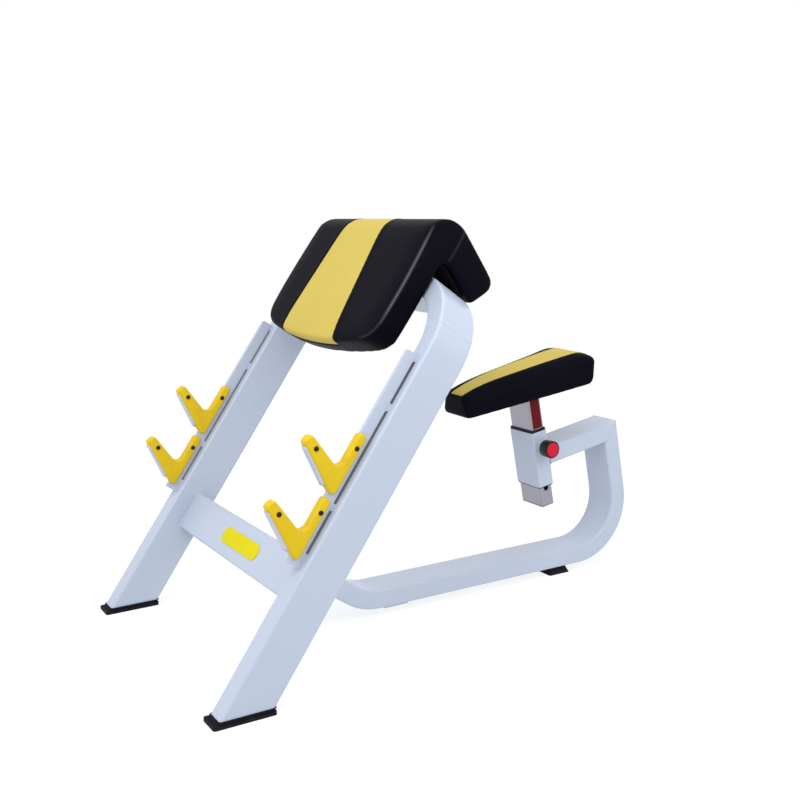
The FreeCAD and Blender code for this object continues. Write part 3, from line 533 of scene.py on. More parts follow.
# %% Arm pad section
PAD_HALF = 0.2735
PAD_AT = -0.004
PAD_BACK = 0.008
PAD_FACE = 0.0685
PAD_LOW = 0.8520
PAD_BELLY = 0.029
PAD_CORNER = 1.098
PAD_TOE = 0.011
PAD_HEEL_ROUND = 0.006
PAD_END_ROUND = 0.011
PAD_PLAN_ROUND = 0.045
PAD_BULGE = 0.0095
PAD_BULGE_AT = 0.975
PAD_BULGE_REACH = 0.14
PAD_SAG = 0.0065
PAD_BASE_SHARE = 0.55
WING_FALL = math.radians(22.2)
WING_LONG = 0.131
WING_COVER = 0.081
WING_CORNER = 0.022
WING_LEAN = 0.007
RIDGE_ROUND = 0.058
ARCH_ROUND = 0.022
ARCH_INSIDE = 0.004
ARCH_OPENS = (0.215, 0.245)
PLAN_FROM = 0.02
BULGE_RISE = (0.01, 0.05)
SAG_FADE = (0.01, 0.04)
SAG_SIDE = (0.22, 0.255)
WING_ALONG = np.array([-math.cos(WING_FALL), -math.sin(WING_FALL)])
WING_OUT = np.array([-math.sin(WING_FALL), math.cos(WING_FALL)])
RIDGE_HALF = (math.pi / 2 - WING_FALL) / 2
RIGHT_HALF = math.pi / 4
DOWN = np.array([0.0, -1.0])
OUT = np.array([1.0, 0.0])
RUN_COUNTS = ((24, 4), (6, 6), (30, 24), (12, 8), (8, 4), (14, 10))
MIDDLE_RINGS, RIM_RINGS = 41, 7


def shares(count):
    """Shares from 0 towards 1, the 1 left for the next run."""
    return np.linspace(0, 1, count, endpoint=False)[:, None, None]


def pad_lower_edge(x):
    """How far along the leg the front slope ends: a shallow belly across the width."""
    return PAD_LOW - PAD_BELLY * (1 - (x / PAD_HALF) ** 2)


def arm_pad_rings(x, inset):
    """The pad's section at each x, drawn in by inset: rings of (out, along) points.

    It turns at six corners. Each row of turns holds a corner, the ways into and out of it, its
    arc's reach along them and half its angle. A straight run leads from arc to arc.
    """
    def at(out, along):
        return np.stack(np.broadcast_arrays(out, along, x)[:2], axis=-1)
    low = pad_lower_edge(x) + inset
    face = PAD_FACE - inset
    cover = WING_COVER - inset
    crest = PAD_CORNER + (cover + (face - PAD_BACK) * math.sin(WING_FALL)) / math.cos(WING_FALL)
    arch = (ARCH_INSIDE + (ARCH_ROUND - ARCH_INSIDE) * smoothstep(abs(x), *ARCH_OPENS))[:, None]
    inner = at(PAD_BACK, PAD_CORNER)
    heel = inner + WING_ALONG * (WING_LONG - inset[:, None])
    elbow = heel + WING_OUT * cover[:, None] + WING_ALONG * WING_LEAN
    slope = math.tan(RIDGE_HALF)
    turns = [(at(PAD_BACK, low), DOWN, OUT, PAD_HEEL_ROUND, RIGHT_HALF),
             (at(face, low), OUT, -DOWN, PAD_TOE, RIGHT_HALF),
             (at(face, crest), -DOWN, WING_ALONG, RIDGE_ROUND / slope, RIDGE_HALF),
             (elbow, WING_ALONG, -WING_OUT, WING_CORNER, RIGHT_HALF),
             (heel, -WING_OUT, -WING_ALONG, PAD_HEEL_ROUND, RIGHT_HALF),
             (inner, -WING_ALONG, DOWN, arch / slope, RIDGE_HALF)]
    starts = [corner - into * reach for corner, into, _, reach, _ in turns]
    stops = [corner + onward * reach for corner, _, onward, reach, _ in turns]
    runs = []
    for i, (line_count, arc_count) in enumerate(RUN_COUNTS):
        corner, half = turns[i][0], turns[i][-1]
        runs.append(stops[i - 1] + (starts[i] - stops[i - 1]) * shares(line_count))
        runs.append(arc(starts[i], corner, stops[i], math.sin(half), shares(arc_count)))
    return np.concatenate(runs).transpose(1, 0, 2)


def arm_pad_form():
    """Rings across the width, shrunk at the ends on a quarter circle.

    The lower corners are rounded in plan. Along the slope's ends the face bulges outwards and
    the rim hangs behind the board, both as a parabola does.
    """
    x, inset = rounded_rims(PAD_HALF, PAD_END_ROUND, RIM_RINGS)
    middle = np.linspace(-1, 1, MIDDLE_RINGS)[1:-1] * (PAD_HALF - PAD_END_ROUND)
    x = np.insert(x, RIM_RINGS, middle)
    inset = np.insert(inset, RIM_RINGS, np.zeros(len(middle)))
    rings = arm_pad_rings(x, inset)
    out, along = rings[..., 0], rings[..., 1]
    across = np.broadcast_to(x[:, None], out.shape)
    a = np.clip((abs(across) - (PAD_HALF - PAD_PLAN_ROUND)) / PAD_PLAN_ROUND, 0, 1)
    b = np.clip((pad_lower_edge(across) + PAD_PLAN_ROUND - along) / PAD_PLAN_ROUND, 0, 1)
    share = PAD_BASE_SHARE + (1 - PAD_BASE_SHARE) * smoothstep(out, PLAN_FROM, PAD_FACE)
    in_x = PAD_PLAN_ROUND * a * (1 - np.sqrt(1 - b * b / 2)) * share
    in_along = PAD_PLAN_ROUND * b * (1 - np.sqrt(1 - a * a / 2)) * share
    arch = np.clip(1 - ((along - PAD_BULGE_AT) / PAD_BULGE_REACH) ** 2, 0, 1)
    bulge = PAD_BULGE * arch * smoothstep(out, *BULGE_RISE) * across / PAD_HALF
    sag = PAD_SAG * arch * (1 - smoothstep(out, *SAG_FADE)) * smoothstep(abs(across), *SAG_SIDE)
    return np.stack([across - np.sign(across) * in_x + bulge, sag - out, along + in_along], -1)


arm_pad_start = joined("arm_pad_form", [(arm_pad_form(), False)])
print("arm pad form", len(arm_pad_start.data.vertices), "points")

# %% [markdown]
# The seat is a tapered wedge of foam on a board, narrow at the nose and domed on top. It is
# a stack of plan outlines: six corners, each rounded, that draw in over the crown and pull
# back at the nose as they rise.

# %% Seat form
SEAT_UNDER = 0.1500
SEAT_WALL = 0.0570
SEAT_DOME = 0.0235
SEAT_FRONT = 0.217
SEAT_FRONT_LEAN = 0.003
SEAT_BACK = 0.157
SEAT_BACK_ROUND = 0.005
SEAT_BULGE = 0.008
SEAT_OVERHANG = 0.030
SEAT_FRONT_HALF = 0.059
SEAT_NOSE_DRAFT = 0.018
SEAT_YAW = math.radians(1.5)
SEAT_BACK_HALF = 0.105
SEAT_CORNER = 0.012
SEAT_CROWN_IN = 0.044
SEAT_NOSE = 0.160
SEAT_NOSE_POWER = 0.6
WALL_RISE = [0, 0.011, 0.030]
WALL_IN = [0.002, -0.002, -0.001]
WALL_ZERO = [0, 0, 0]
CROWN_IN = 0.001
CROWN_RINGS = 16


def seat_form():
    """Plan outlines stacked from the board to the crown."""
    gone = 1 - np.cos(np.linspace(0, math.pi / 2, CROWN_RINGS))
    crown = SEAT_WALL + SEAT_DOME * np.sin(np.linspace(0, math.pi / 2, CROWN_RINGS))
    rise = np.concatenate([WALL_RISE, crown])
    inset = np.concatenate([WALL_IN, CROWN_IN + SEAT_CROWN_IN * gone])
    nose = np.concatenate([WALL_ZERO, SEAT_NOSE * gone ** SEAT_NOSE_POWER])
    leaning = rise / (SEAT_WALL + SEAT_DOME)
    front = -SEAT_FRONT + inset + nose + SEAT_FRONT_LEAN * leaning
    tail = np.concatenate([WALL_ZERO, SEAT_BACK_ROUND * gone])
    back = SEAT_BACK - inset - tail + SEAT_OVERHANG * leaning
    spread = (SEAT_BACK_HALF - SEAT_FRONT_HALF) / (SEAT_BACK + SEAT_FRONT)
    front_half = SEAT_FRONT_HALF + spread * nose - inset - SEAT_NOSE_DRAFT * leaning
    back_half = SEAT_BACK_HALF - inset
    x = np.stack([front_half, back_half, back_half / 2, -back_half / 2, -back_half, -front_half], 1)
    y = np.stack([front, back, back + SEAT_BULGE, back + SEAT_BULGE, back, front], 1)
    rings = corner_chain(np.stack([x, y], -1), SEAT_CORNER, 8)
    height = np.broadcast_to((SEAT_UNDER + rise)[:, None], rings.shape[:2])
    return np.stack([rings[..., 0], rings[..., 1], height], -1)


seat_start = joined("seat_form", [(seat_form(), False)])
print("seat form", len(seat_start.data.vertices), "points")

# %% [markdown]
# Stuffed vinyl is under tension: it swells between its edges and never keeps a drawn flat.
# The form is voxel remeshed into even quads, blown up a little by the cloth solver with no
# gravity, and each point's travel is capped. The underside, which is stapled to the board,
# is pinned. The solver's result is read back as an array, so no Cloth stays on the piece.


# %% Swelling the cushions
STAPLED = 0.004
ARM_VOXEL, ARM_SWELL = 0.0055, 0.005
SEAT_VOXEL, SEAT_SWELL = 0.0045, 0.004
EVEN_ROUNDS = 30
SWELL_FRAMES = 20
CLOTH = {"quality": 6, "use_pressure": True, "uniform_pressure_force": 4.0,
         "tension_stiffness": 25, "compression_stiffness": 25, "bending_stiffness": 4,
         "vertex_group_mass": "stapled"}


def modified(piece, kind, **settings):
    """Replace the mesh by what one modifier makes of it."""
    modifier = piece.modifiers.new(kind, kind)
    for key, value in settings.items():
        setattr(modifier, key, value)
    graph = bpy.context.evaluated_depsgraph_get()
    mesh = bpy.data.meshes.new_from_object(piece.evaluated_get(graph))
    piece.modifiers.clear()
    piece.data = mesh


def vectors_of(items, key):
    """One vector of each item of a mesh, as the rows of an array."""
    numbers = np.zeros(len(items) * 3, np.float32)
    items.foreach_get(key, numbers)
    return numbers.reshape(-1, 3).astype(float)


def points_of(mesh):
    return vectors_of(mesh.vertices, "co")


def normals_of(mesh):
    return vectors_of(mesh.vertex_normals, "vector")


def put_points(mesh, points):
    mesh.vertices.foreach_set("co", points.astype(np.float32).ravel())
    mesh.update()


def evened(mesh, values, rounds):
    """Each round replaces a point's value by the mean of its neighbours' values and its own."""
    ends = np.zeros(len(mesh.edges) * 2, np.int32)
    mesh.edges.foreach_get("vertices", ends)
    ends = ends.reshape(-1, 2)
    count = 1 + np.bincount(ends.ravel(), minlength=len(values))
    for _ in range(rounds):
        total = np.bincount(ends[:, 0], values[ends[:, 1]], len(values))
        total += np.bincount(ends[:, 1], values[ends[:, 0]], len(values))
        values = (values + total) / count
    return values


def swell(piece, pinned, cap):
    """Inflate with the cloth solver, and let each point swell outwards by at most cap."""
    rest = points_of(piece.data)
    outward = normals_of(piece.data)
    group = piece.vertex_groups.new(name="stapled")
    group.add([int(i) for i in np.flatnonzero(pinned)], 1.0, "REPLACE")
    cloth = piece.modifiers.new("cloth", "CLOTH")
    for key, value in CLOTH.items():
        setattr(cloth.settings, key, value)
    cloth.settings.effector_weights.gravity = 0
    cloth.point_cache.frame_start = 1
    cloth.point_cache.frame_end = SWELL_FRAMES
    for at in range(1, SWELL_FRAMES + 1):
        bpy.context.scene.frame_set(at)
    graph = bpy.context.evaluated_depsgraph_get()
    blown = points_of(piece.evaluated_get(graph).data)
    piece.modifiers.clear()
    bpy.context.scene.frame_set(1)
    rise = np.maximum(((blown - rest) * outward).sum(1), 0)
    rise = evened(piece.data, np.where(pinned, 0, cap * np.tanh(rise / cap)), EVEN_ROUNDS)
    put_points(piece.data, rest + outward * rise[:, None])
    piece.vertex_groups.clear()
    print(piece.name, "swelled by up to", round(1000 * float(rise.max()), 1), "mm")


def keep_value(mesh, name, values):
    """Store one number a point, for the finish to read."""
    kept = mesh.attributes.new(name, "FLOAT", "POINT")
    kept.data.foreach_set("value", values.astype(np.float32))


def cushion(piece, name, voxel, pinned_of, cap):
    """Remesh, swell, smooth and refine a form into a cushion."""
    piece.name = name
    modified(piece, "REMESH", mode="VOXEL", voxel_size=voxel)
    swell(piece, pinned_of(points_of(piece.data)), cap)
    modified(piece, "SMOOTH", factor=0.5, iterations=4)
    modified(piece, "SUBSURF", levels=1, render_levels=1)
    piece.data.shade_smooth()
    return piece


def arm_pad_places(points):
    """For each point: its limb, how far along that limb it is, and how high over the board."""
    height, down = -points[:, 1] - PAD_BACK, PAD_CORNER - points[:, 2]
    along_wing = down * math.sin(WING_FALL) - height * math.cos(WING_FALL)
    over_wing = -height * math.sin(WING_FALL) - down * math.cos(WING_FALL)
    in_front = down > along_wing
    return in_front, np.where(in_front, down, along_wing), np.where(in_front, height, over_wing)


def arm_pad_pinned(points):
    return arm_pad_places(points)[2] < STAPLED


def seat_pinned(points):
    return points[:, 2] < SEAT_UNDER + STAPLED


arm_pad = cushion(arm_pad_start, "arm_pad_cushion", ARM_VOXEL, arm_pad_pinned, ARM_SWELL)
seat_pad = cushion(seat_start, "seat_cushion", SEAT_VOXEL, seat_pinned, SEAT_SWELL)
print("arm pad", len(arm_pad.data.polygons), "faces, seat", len(seat_pad.data.polygons), "faces")

# %% [markdown]
# Both cushions carry a sewn-in centre panel that widens towards the user. Its edge is a
# distance worked out for every point: negative inside the panel, zero on the seam. The same
# number presses the seam's groove into the mesh and later tells the finish where the two
# vinyls meet.

# %% Sewn panels
SEAM_DEPTH = 0.0016
SEAM_HALF = 0.0024
PUFF = 0.0007
PUFF_AT = 0.008
PANEL_LIP = -0.006
BOARD_RIM = 0.022
BOARD_SINK = 0.003
SEAT_RIM = 0.011
SEAT_SINK = 0.0085
SEAT_PANEL_AT = 0.004
SEAT_PANEL_NOSE = 0.026
SEAT_PANEL_SPREAD = 0.067
PAD_CREST = 1.171
PANEL_AT = -0.0322
PANEL_LEAN = 0.040
PANEL_CREST_HALF = 0.0857
PANEL_SPREAD = 0.142
OUTER_SIDE = 0.037
# Where and how wide the painted highlight line along the arm pad's end edges lies.
HIGHLIGHT_IN = 0.012
HIGHLIGHT_HEIGHT = 0.0575
HIGHLIGHT_HALF = 0.0019
SEAM_SHEEN = 0.22
END_SEAM_OUT = -0.009
END_SEAM_SIDE = (PAD_HALF - 0.012, PAD_HALF - 0.006)
OFF_END = 0.05
HIGHLIGHT_SIDE = (0.20, 0.25)
HIGHLIGHT_TOP = (-0.07, 0.02)
HIGHLIGHT_FADE = (0.16, 0.22)
HIGHLIGHT_LOST = 0.7
SEAT_PANEL_UP = 0.001
SEAT_TAPER = 0.137
ARM_RIM_FADE, SEAT_RIM_FADE = 0.004, 0.005


def below_crest(along):
    return PAD_CREST - np.minimum(along, PAD_CREST)


def panel_half(along):
    """Half the panel's width: it spreads evenly down the front slope from the crest."""
    return PANEL_CREST_HALF + PANEL_SPREAD * below_crest(along)


def panel_middle(along):
    """The panel's middle line, which leans a little across the slope."""
    return PANEL_AT + PANEL_LEAN * below_crest(along)


def arm_panel_edge(points):
    """Distance outside the panel: past its sides, past its two ends, or under the pad."""
    in_front, down, height = arm_pad_places(points)
    along = np.where(in_front, points[:, 2], PAD_CREST)
    past_side = abs(points[:, 0] - panel_middle(along)) - panel_half(along)
    front_end = PAD_CORNER - pad_lower_edge(points[:, 0]) - PANEL_LIP
    past_end = down - np.where(in_front, front_end, WING_LONG - PANEL_LIP)
    return np.maximum.reduce([past_side, past_end, OUTER_SIDE - height])


def seat_panel_half(y):
    """Half the seat panel's width: it spreads evenly from the nose to the back."""
    return SEAT_PANEL_NOSE + SEAT_PANEL_SPREAD * (y + SEAT_FRONT)


def seat_panel_edge(points):
    x, y, z = points.T
    past_side = abs(x - SEAT_PANEL_AT) - seat_panel_half(y)
    return np.maximum(past_side, SEAT_UNDER + SEAT_WALL + SEAT_PANEL_UP - z)


def arm_board_sink(points):
    """Lift the skin off the boards' undersides, inside the stapled rim."""
    in_front, down, height = arm_pad_places(points)
    end = np.where(in_front, PAD_CORNER - PAD_LOW, WING_LONG)
    inside = np.minimum(end - down, PAD_HALF - abs(points[:, 0])) - BOARD_RIM
    share = smoothstep(inside, 0, ARM_RIM_FADE) * (height < STAPLED) * BOARD_SINK
    lift = np.where(in_front[:, None], np.array([0, -1, 0]),
                    np.array([0, -WING_OUT[0], WING_OUT[1]]))
    return lift * share[:, None]


def seat_board_sink(points):
    """Lift the skin off the seat board's underside in the same way."""
    x, y, z = points.T
    width = SEAT_FRONT_HALF + (y + SEAT_FRONT) * SEAT_TAPER
    inside = np.minimum.reduce([SEAT_BACK - y, y + SEAT_FRONT, width - abs(x)]) - SEAT_RIM
    share = smoothstep(inside, 0, SEAT_RIM_FADE) * (z < SEAT_UNDER + STAPLED) * SEAT_SINK
    return np.array([0, 0, 1]) * share[:, None]


def arm_end_seam(points):
    """Distance from the seam up each end, which runs on from the slope's back to the ridge."""
    away = np.hypot(END_SEAM_OUT + points[:, 1], np.maximum(PAD_CORNER - points[:, 2], 0))
    on_end = smoothstep(abs(points[:, 0]), *END_SEAM_SIDE)
    return away + (1 - on_end) * OFF_END


def arm_painted_highlight(points):
    """A painted highlight line where the front slope's edge turns over into each end.

    It keeps one height over the board, near the slope's plan only. The plan's distance is that
    of a rounded rectangle: how far a point lies past the corner's centre in both directions,
    less the corner's radius.
    """
    in_front, down, height = arm_pad_places(points)
    past_side = abs(points[:, 0]) - PAD_HALF + PAD_PLAN_ROUND
    past_low = pad_lower_edge(points[:, 0]) + PAD_PLAN_ROUND - points[:, 2]
    past_corner = np.hypot(np.maximum(past_side, 0), np.maximum(past_low, 0))
    inside = past_corner + np.minimum(np.maximum(past_side, past_low), 0) - PAD_PLAN_ROUND
    line = np.exp(-((height - HIGHLIGHT_HEIGHT) / HIGHLIGHT_HALF) ** 2)
    line = line * smoothstep(inside, -HIGHLIGHT_IN, -HIGHLIGHT_IN / 2)
    fade = smoothstep(down, *HIGHLIGHT_TOP) * smoothstep(abs(points[:, 0]), *HIGHLIGHT_SIDE)
    fade = fade * (1 - HIGHLIGHT_LOST * smoothstep(down, *HIGHLIGHT_FADE))
    # A fainter painted highlight runs up the seam on each end.
    sheen = SEAM_SHEEN * np.exp(-(arm_end_seam(points) / SEAM_HALF) ** 2)
    return line * fade * in_front + sheen


def from_seat(x, y, z):
    """The seat cushion sits on its plate turned a little about the post."""
    turn, keep = math.sin(SEAT_YAW), math.cos(SEAT_YAW)
    return from_post(x * keep + y * turn, y * keep - x * turn, z)


def sew_panel(piece, edge_of, sink_of, seam_of=None, highlight_of=None):
    """Press the seams in, with a slight puff on both sides of the panel's edge."""
    points = points_of(piece.data)
    edge = edge_of(points)
    groove = -SEAM_DEPTH * np.exp(-(edge / SEAM_HALF) ** 2)
    if seam_of:
        groove -= SEAM_DEPTH * np.exp(-(seam_of(points) / SEAM_HALF) ** 2)
    puff = PUFF * np.exp(-((abs(edge) - PUFF_AT) / PUFF_AT) ** 2)
    moved = points + normals_of(piece.data) * (groove + puff)[:, None] + sink_of(points)
    keep_value(piece.data, "panel_edge", edge)
    keep_value(piece.data, "painted_highlight", highlight_of(points) if highlight_of else np.zeros(len(points)))
    return moved


arm_points = sew_panel(arm_pad, arm_panel_edge, arm_board_sink, arm_end_seam, arm_painted_highlight)
arm_x, arm_in, arm_along = arm_points.T
put_points(arm_pad.data, from_leg(arm_x + PAD_AT, -arm_in, arm_along))
seat_points = sew_panel(seat_pad, seat_panel_edge, seat_board_sink)
put_points(seat_pad.data, from_seat(*seat_points.T))

# %% [markdown]
# Upholstery vinyl has an embossed grain: small rounded cells with creases between them. A
# Voronoi texture's distance to its cell edges gives the creases, and noise bends them. The
# panel distance picks yellow or black, and draws the darker line of the seam. A second stored
# number paints a grey highlight line along the arm pad's end edges and end seams.


# %% Vinyl
GRAIN, GRAIN_DRIFT = 520.0, 0.0012
CREASE_WIDE = 0.22
SEAM_LINE = (-0.0013, -0.0003)
HIGHLIGHT_GREY = (0.085, 0.085, 0.098, 1)


def vinyl_finish(name, black, yellow):
    finish = Finish(name, Specular_IOR_Level=0.02)
    here = finish.here()
    drift = finish.node("TexNoise", out="Color", Vector=here, Scale=300.0)
    drift = finish.node("VectorMath", {"operation": "SCALE"}, _0=drift, Scale=GRAIN_DRIFT)
    bent = finish.node("VectorMath", {"operation": "ADD"}, _0=here, _1=drift)
    cells = finish.node("TexVoronoi", {"feature": "DISTANCE_TO_EDGE"}, Vector=bent, Scale=GRAIN)
    crease = 1 - finish.step(cells, 0.0, CREASE_WIDE)
    pores = finish.noise(1600.0, 2.0)
    edge = finish.node("Attribute", {"attribute_name": "panel_edge"}, "Fac")
    highlight = finish.node("Attribute", {"attribute_name": "painted_highlight"}, "Fac")
    panel = 1 - finish.step(edge, *SEAM_LINE)
    handled = finish.noise(9.0, 4.0)
    dark = finish.mix(handled, shade(black, 0.85), shade(black, 1.25))
    # The black turns grey along the arm pad's end edges and end seams: a painted highlight.
    dark = finish.mix(highlight * (0.55 + handled * 0.7), dark, HIGHLIGHT_GREY)
    light = finish.mix(handled, shade(yellow, 0.94), shade(yellow, 1.04))
    # The yellow is painted darker in the grain's creases: painted shade.
    light = finish.mix(crease * 0.22, light, shade(yellow, 0.55))
    finish.set(Base_Color=finish.mix(panel, dark, light))
    finish.set(Roughness=0.30 + handled * 0.10 + crease * 0.10)
    finish.bump(pores * 0.25 - crease, 0.00022, 0.55)
    return finish.material


vinyl = vinyl_finish("vinyl", (0.0027, 0.0025, 0.0057), (0.530, 0.414, 0.093))
for piece, node, body in ((arm_pad, "arm_pad", "frame"), (seat_pad, "seat_pad", "seat")):
    piece.data.materials.clear()
    piece.data.materials.append(vinyl)
    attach(piece, body)
    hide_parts(node)

# %% [markdown]
# The bar rests are moulded V channels screwed to the hook plates. Their outline is a chain
# of corners in the leg frame, each with its own radius. Carried across the width and drawn
# in near both cheeks, it gets the rounded rim that a mould leaves.

# %% Bar rests
REST_WIDE = 0.024
REST_RIM = 0.0045
VEE_OUT = 0.035
VEE_ALONG = {"lower": 0.415, "upper": 0.565}
VEE_ROUND = 0.016
REST_TIP = 0.009
REAR_LONG, REAR_THICK = 0.090, 0.020
FRONT_LONG, FRONT_THICK = 0.103, 0.024
BELLY = np.array([0.012, -0.040])
HEEL = 0.056
HEEL_ROUND = 0.010
FRONT_WAY = np.array([math.sin(2 * LEAN), math.cos(2 * LEAN)])
FRONT_BACK = np.array([math.cos(2 * LEAN), -math.sin(2 * LEAN)])
REAR_WAY = np.array([0.0, 1.0])
REAR_BACK = np.array([-1.0, 0.0])
RUB_UP = 0.02
RUB_REACH = 0.035
RUBBED = (0.35, 0.25, 0.03, 1)


def inward(loop):
    """Unit normals that point into a closed loop of points."""
    along = unit(np.roll(loop, -1, axis=0) - np.roll(loop, 1, axis=0))
    left = np.stack([-along[:, 1], along[:, 0]], -1)
    area = (loop[:, 0] * np.roll(loop[:, 1], -1) - np.roll(loop[:, 0], -1) * loop[:, 1]).sum()
    return left * np.sign(area)


def rest_outline(vertex):
    tip = vertex + FRONT_WAY * FRONT_LONG + FRONT_BACK * FRONT_THICK
    belly = vertex + BELLY
    rear_tip = vertex + REAR_WAY * REAR_LONG
    heel = vertex + REAR_BACK * REAR_THICK - REAR_WAY * HEEL
    corners = np.array([vertex, rear_tip, rear_tip + REAR_BACK * REAR_THICK, heel, belly, tip,
                        vertex + FRONT_WAY * FRONT_LONG])
    radii = np.array([VEE_ROUND, REST_TIP, REST_TIP, HEEL_ROUND, VEE_ROUND, REST_TIP, REST_TIP])
    return corner_chain(corners, radii, 10)


def bar_rest(name, side, along):
    """The outline carried across the width, drawn in on a quarter circle at both cheeks."""
    loop = rest_outline(np.array([VEE_OUT, along]))
    x, draw = rounded_rims(REST_WIDE / 2, REST_RIM, 5)
    ring = loop[None] + inward(loop)[None] * draw[:, None, None]
    grid = from_leg(side * LEG_X + x[:, None], ring[..., 0], ring[..., 1])
    piece = joined(name, [(grid, False)])
    _, out, up = to_leg(*points_of(piece.data).T)
    off_vee = (out - VEE_OUT) ** 2 + (up - along - RUB_UP) ** 2
    keep_value(piece.data, "rubbed", np.exp(-off_vee / RUB_REACH ** 2))
    return piece


def rest_finish(name, colour):
    """Moulded yellow, rubbed grey and duller where the bar drops in."""
    finish = moulded(name, colour, 0.34, 850.0, 0.12)
    rubbed = finish.node("Attribute", {"attribute_name": "rubbed"}, "Fac")
    marks = finish.noise(90.0, 5.0, finish.place(scale=(1, 0.3, 0.3)))
    scuff = rubbed * finish.step(marks, 0.48, 0.66)
    flow = finish.noise(16.0, 3.0)
    base = finish.mix(flow, shade(colour, 0.93), shade(colour, 1.05))
    finish.set(Base_Color=finish.mix(scuff * 0.25, base, RUBBED))
    finish.set(Roughness=0.34 + flow * 0.06 + scuff * 0.2)
    return finish.material


liner_yellow = rest_finish("liner_yellow", (0.60, 0.425, 0.011))
for side_name, side in zip(SIDES, (-1, 1)):
    for level, along in VEE_ALONG.items():
        piece = bar_rest(f"{side_name}_{level}_bar_rest", side, along)
        piece.data.materials.append(liner_yellow)
        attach(piece, "frame")
        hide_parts(f"{side_name}_{level}_liner")

# %% [markdown]
# Welds, screw heads, the knob and the spring are turned or drawn pieces: a small profile
# carried round an axis or along a path. The helpers below space a path's points evenly, hang
# a round section on it, or turn a profile about X.


# %% Profiles along paths
DRAWN_POINTS = 8


def evenly(path, step, closed):
    """The same path with its points a step apart, by interpolation over its running length."""
    if closed:
        path = np.concatenate([path, path[:1]])
    run = np.concatenate([[0], np.cumsum(np.linalg.norm(np.diff(path, axis=0), axis=1))])
    count = max(round(run[-1] / step), 3)
    at = np.linspace(0, run[-1], count, endpoint=not closed)
    return np.stack([np.interp(at, run, path[:, i]) for i in range(3)], -1)


def circles(side, lift, count):
    """A circle in the plane of each pair of unit vectors."""
    turn = angles(count)[:, None]
    return side[:, None] * np.cos(turn) + lift[:, None] * np.sin(turn)


def drawn(path, radius, normal, closed):
    """A circle of a given radius at each point, square to the path."""
    if closed:
        tangent = np.roll(path, -1, axis=0) - np.roll(path, 1, axis=0)
    else:
        tangent = np.gradient(path, axis=0)
    side = unit(np.cross(tangent, normal))
    circle = circles(side, unit(np.cross(side, tangent)), DRAWN_POINTS)
    return path[:, None] + circle * np.broadcast_to(radius, len(path))[:, None, None]


def turned(profile, around):
    """A profile of (x, radius) points turned about the X axis."""
    turn = angles(around)
    x = np.broadcast_to(profile[:, :1], (len(profile), around))
    return np.stack([x, profile[:, 1:] * np.cos(turn), profile[:, 1:] * np.sin(turn)], -1)


# %% [markdown]
# The frame is welded tube, so every joint shows a bead under the paint. A bead freezes in
# overlapping drops, which a rippling radius gives; the welds on the bent elbows were ground
# down, so they are thin and plain, and carry a lighter white as a painted highlight line. They
# are drawn as loops round the tube that was set on.

# %% Welds
BEAD_STEP = 0.001
BEAD_PITCH = 0.0042
BEAD_RIPPLE = 0.22
BEAD_FADE, FADE_POWER = 0.98, 6
FRAME_BEAD, ARM_BEAD, TAB_BEAD, BOSS_BEAD = 0.0030, 0.0028, 0.0024, 0.0020
ELBOW_BEAD, MITRE_BEAD = 0.0013, 0.0006
TUBE_CORNER = 0.006
TUBE_DEEP, TUBE_THIN = 0.100, 0.050
LEG_INNER = 0.340
CROSSBAR_AT = (-0.073, 0.327)
TAB_CHEEK, TAB_OUT = 0.0055, 0.0005
ELBOW_WELD = math.radians(23.9)
ELBOW_AT = (0.212, -0.050, 0.876)
ELBOW_RADIUS = 0.153
RAIL_AT = (0, -0.098, 0.344)
SEAT_ARM_AT = (0, 0.0252, -0.025)
MITRE_AT = (0, 0.246, -0.025)
BOSS_FACE, BOSS_RADIUS, BOSS_POINTS = 0.0505, 0.0162, 80
POST_TOP = (0, 0, 0.1484)
POST_WIDE, POST_THICK, POST_CORNER = 0.090, 0.040, 0.004
AXES = np.eye(3)


def loop_path(centre, across, up, wide, high, corner=TUBE_CORNER):
    """A rounded rectangle in the plane of two unit vectors."""
    flat_loop = corner_chain(SQUARE * np.array([wide, high]) / 2, corner, 8)
    path = np.array(centre) + flat_loop[:, :1] * across + flat_loop[:, 1:] * up
    return evenly(path, BEAD_STEP, True)


def bead(path, normal, radius, closed=True, ripple=BEAD_RIPPLE):
    """A weld: a round section whose radius ripples along it, and fades at open ends."""
    run = np.arange(len(path)) * BEAD_STEP
    size = radius * (1 - ripple + ripple * abs(np.sin(math.pi * run / BEAD_PITCH)))
    if not closed:
        from_middle = abs(np.linspace(-1, 1, len(path)))
        size = size * np.sqrt(1 - BEAD_FADE * from_middle ** FADE_POWER)
    return drawn(path, size, normal, closed), closed


def leg_welds(side):
    """In the leg frame: the crossbar's end and the hook plate's tabs."""
    x_way, out_way, along_way = AXES
    end = loop_path((side * LEG_INNER, *CROSSBAR_AT), out_way, along_way, TUBE_THIN, TUBE_DEEP)
    beads = [bead(end, x_way, FRAME_BEAD)]
    for tab in HOOK_TABS:
        for cheek in (-TAB_CHEEK, TAB_CHEEK):
            ends = np.array([[side * LEG_X + cheek, TAB_OUT, along] for along in tab])
            beads.append(bead(evenly(ends, BEAD_STEP, False), x_way, TAB_BEAD, closed=False))
    return beads


def elbow_seam(side):
    """The weld inside the bend, ground nearly flush: a ring square to the bend at its angle."""
    cos, sin = math.cos(ELBOW_WELD), math.sin(ELBOW_WELD)
    x, out, along = ELBOW_AT
    at = (side * (x + ELBOW_RADIUS * cos), out, along + ELBOW_RADIUS * sin)
    ring = loop_path(at, np.array([side * cos, 0, sin]), AXES[1], TUBE_THIN, TUBE_DEEP)
    return bead(ring, np.array([-side * sin, 0, cos]), ELBOW_BEAD, ripple=0)


def carried(beads, carry):
    return [(carry(grid[..., 0], grid[..., 1], grid[..., 2]), wrap) for grid, wrap in beads]


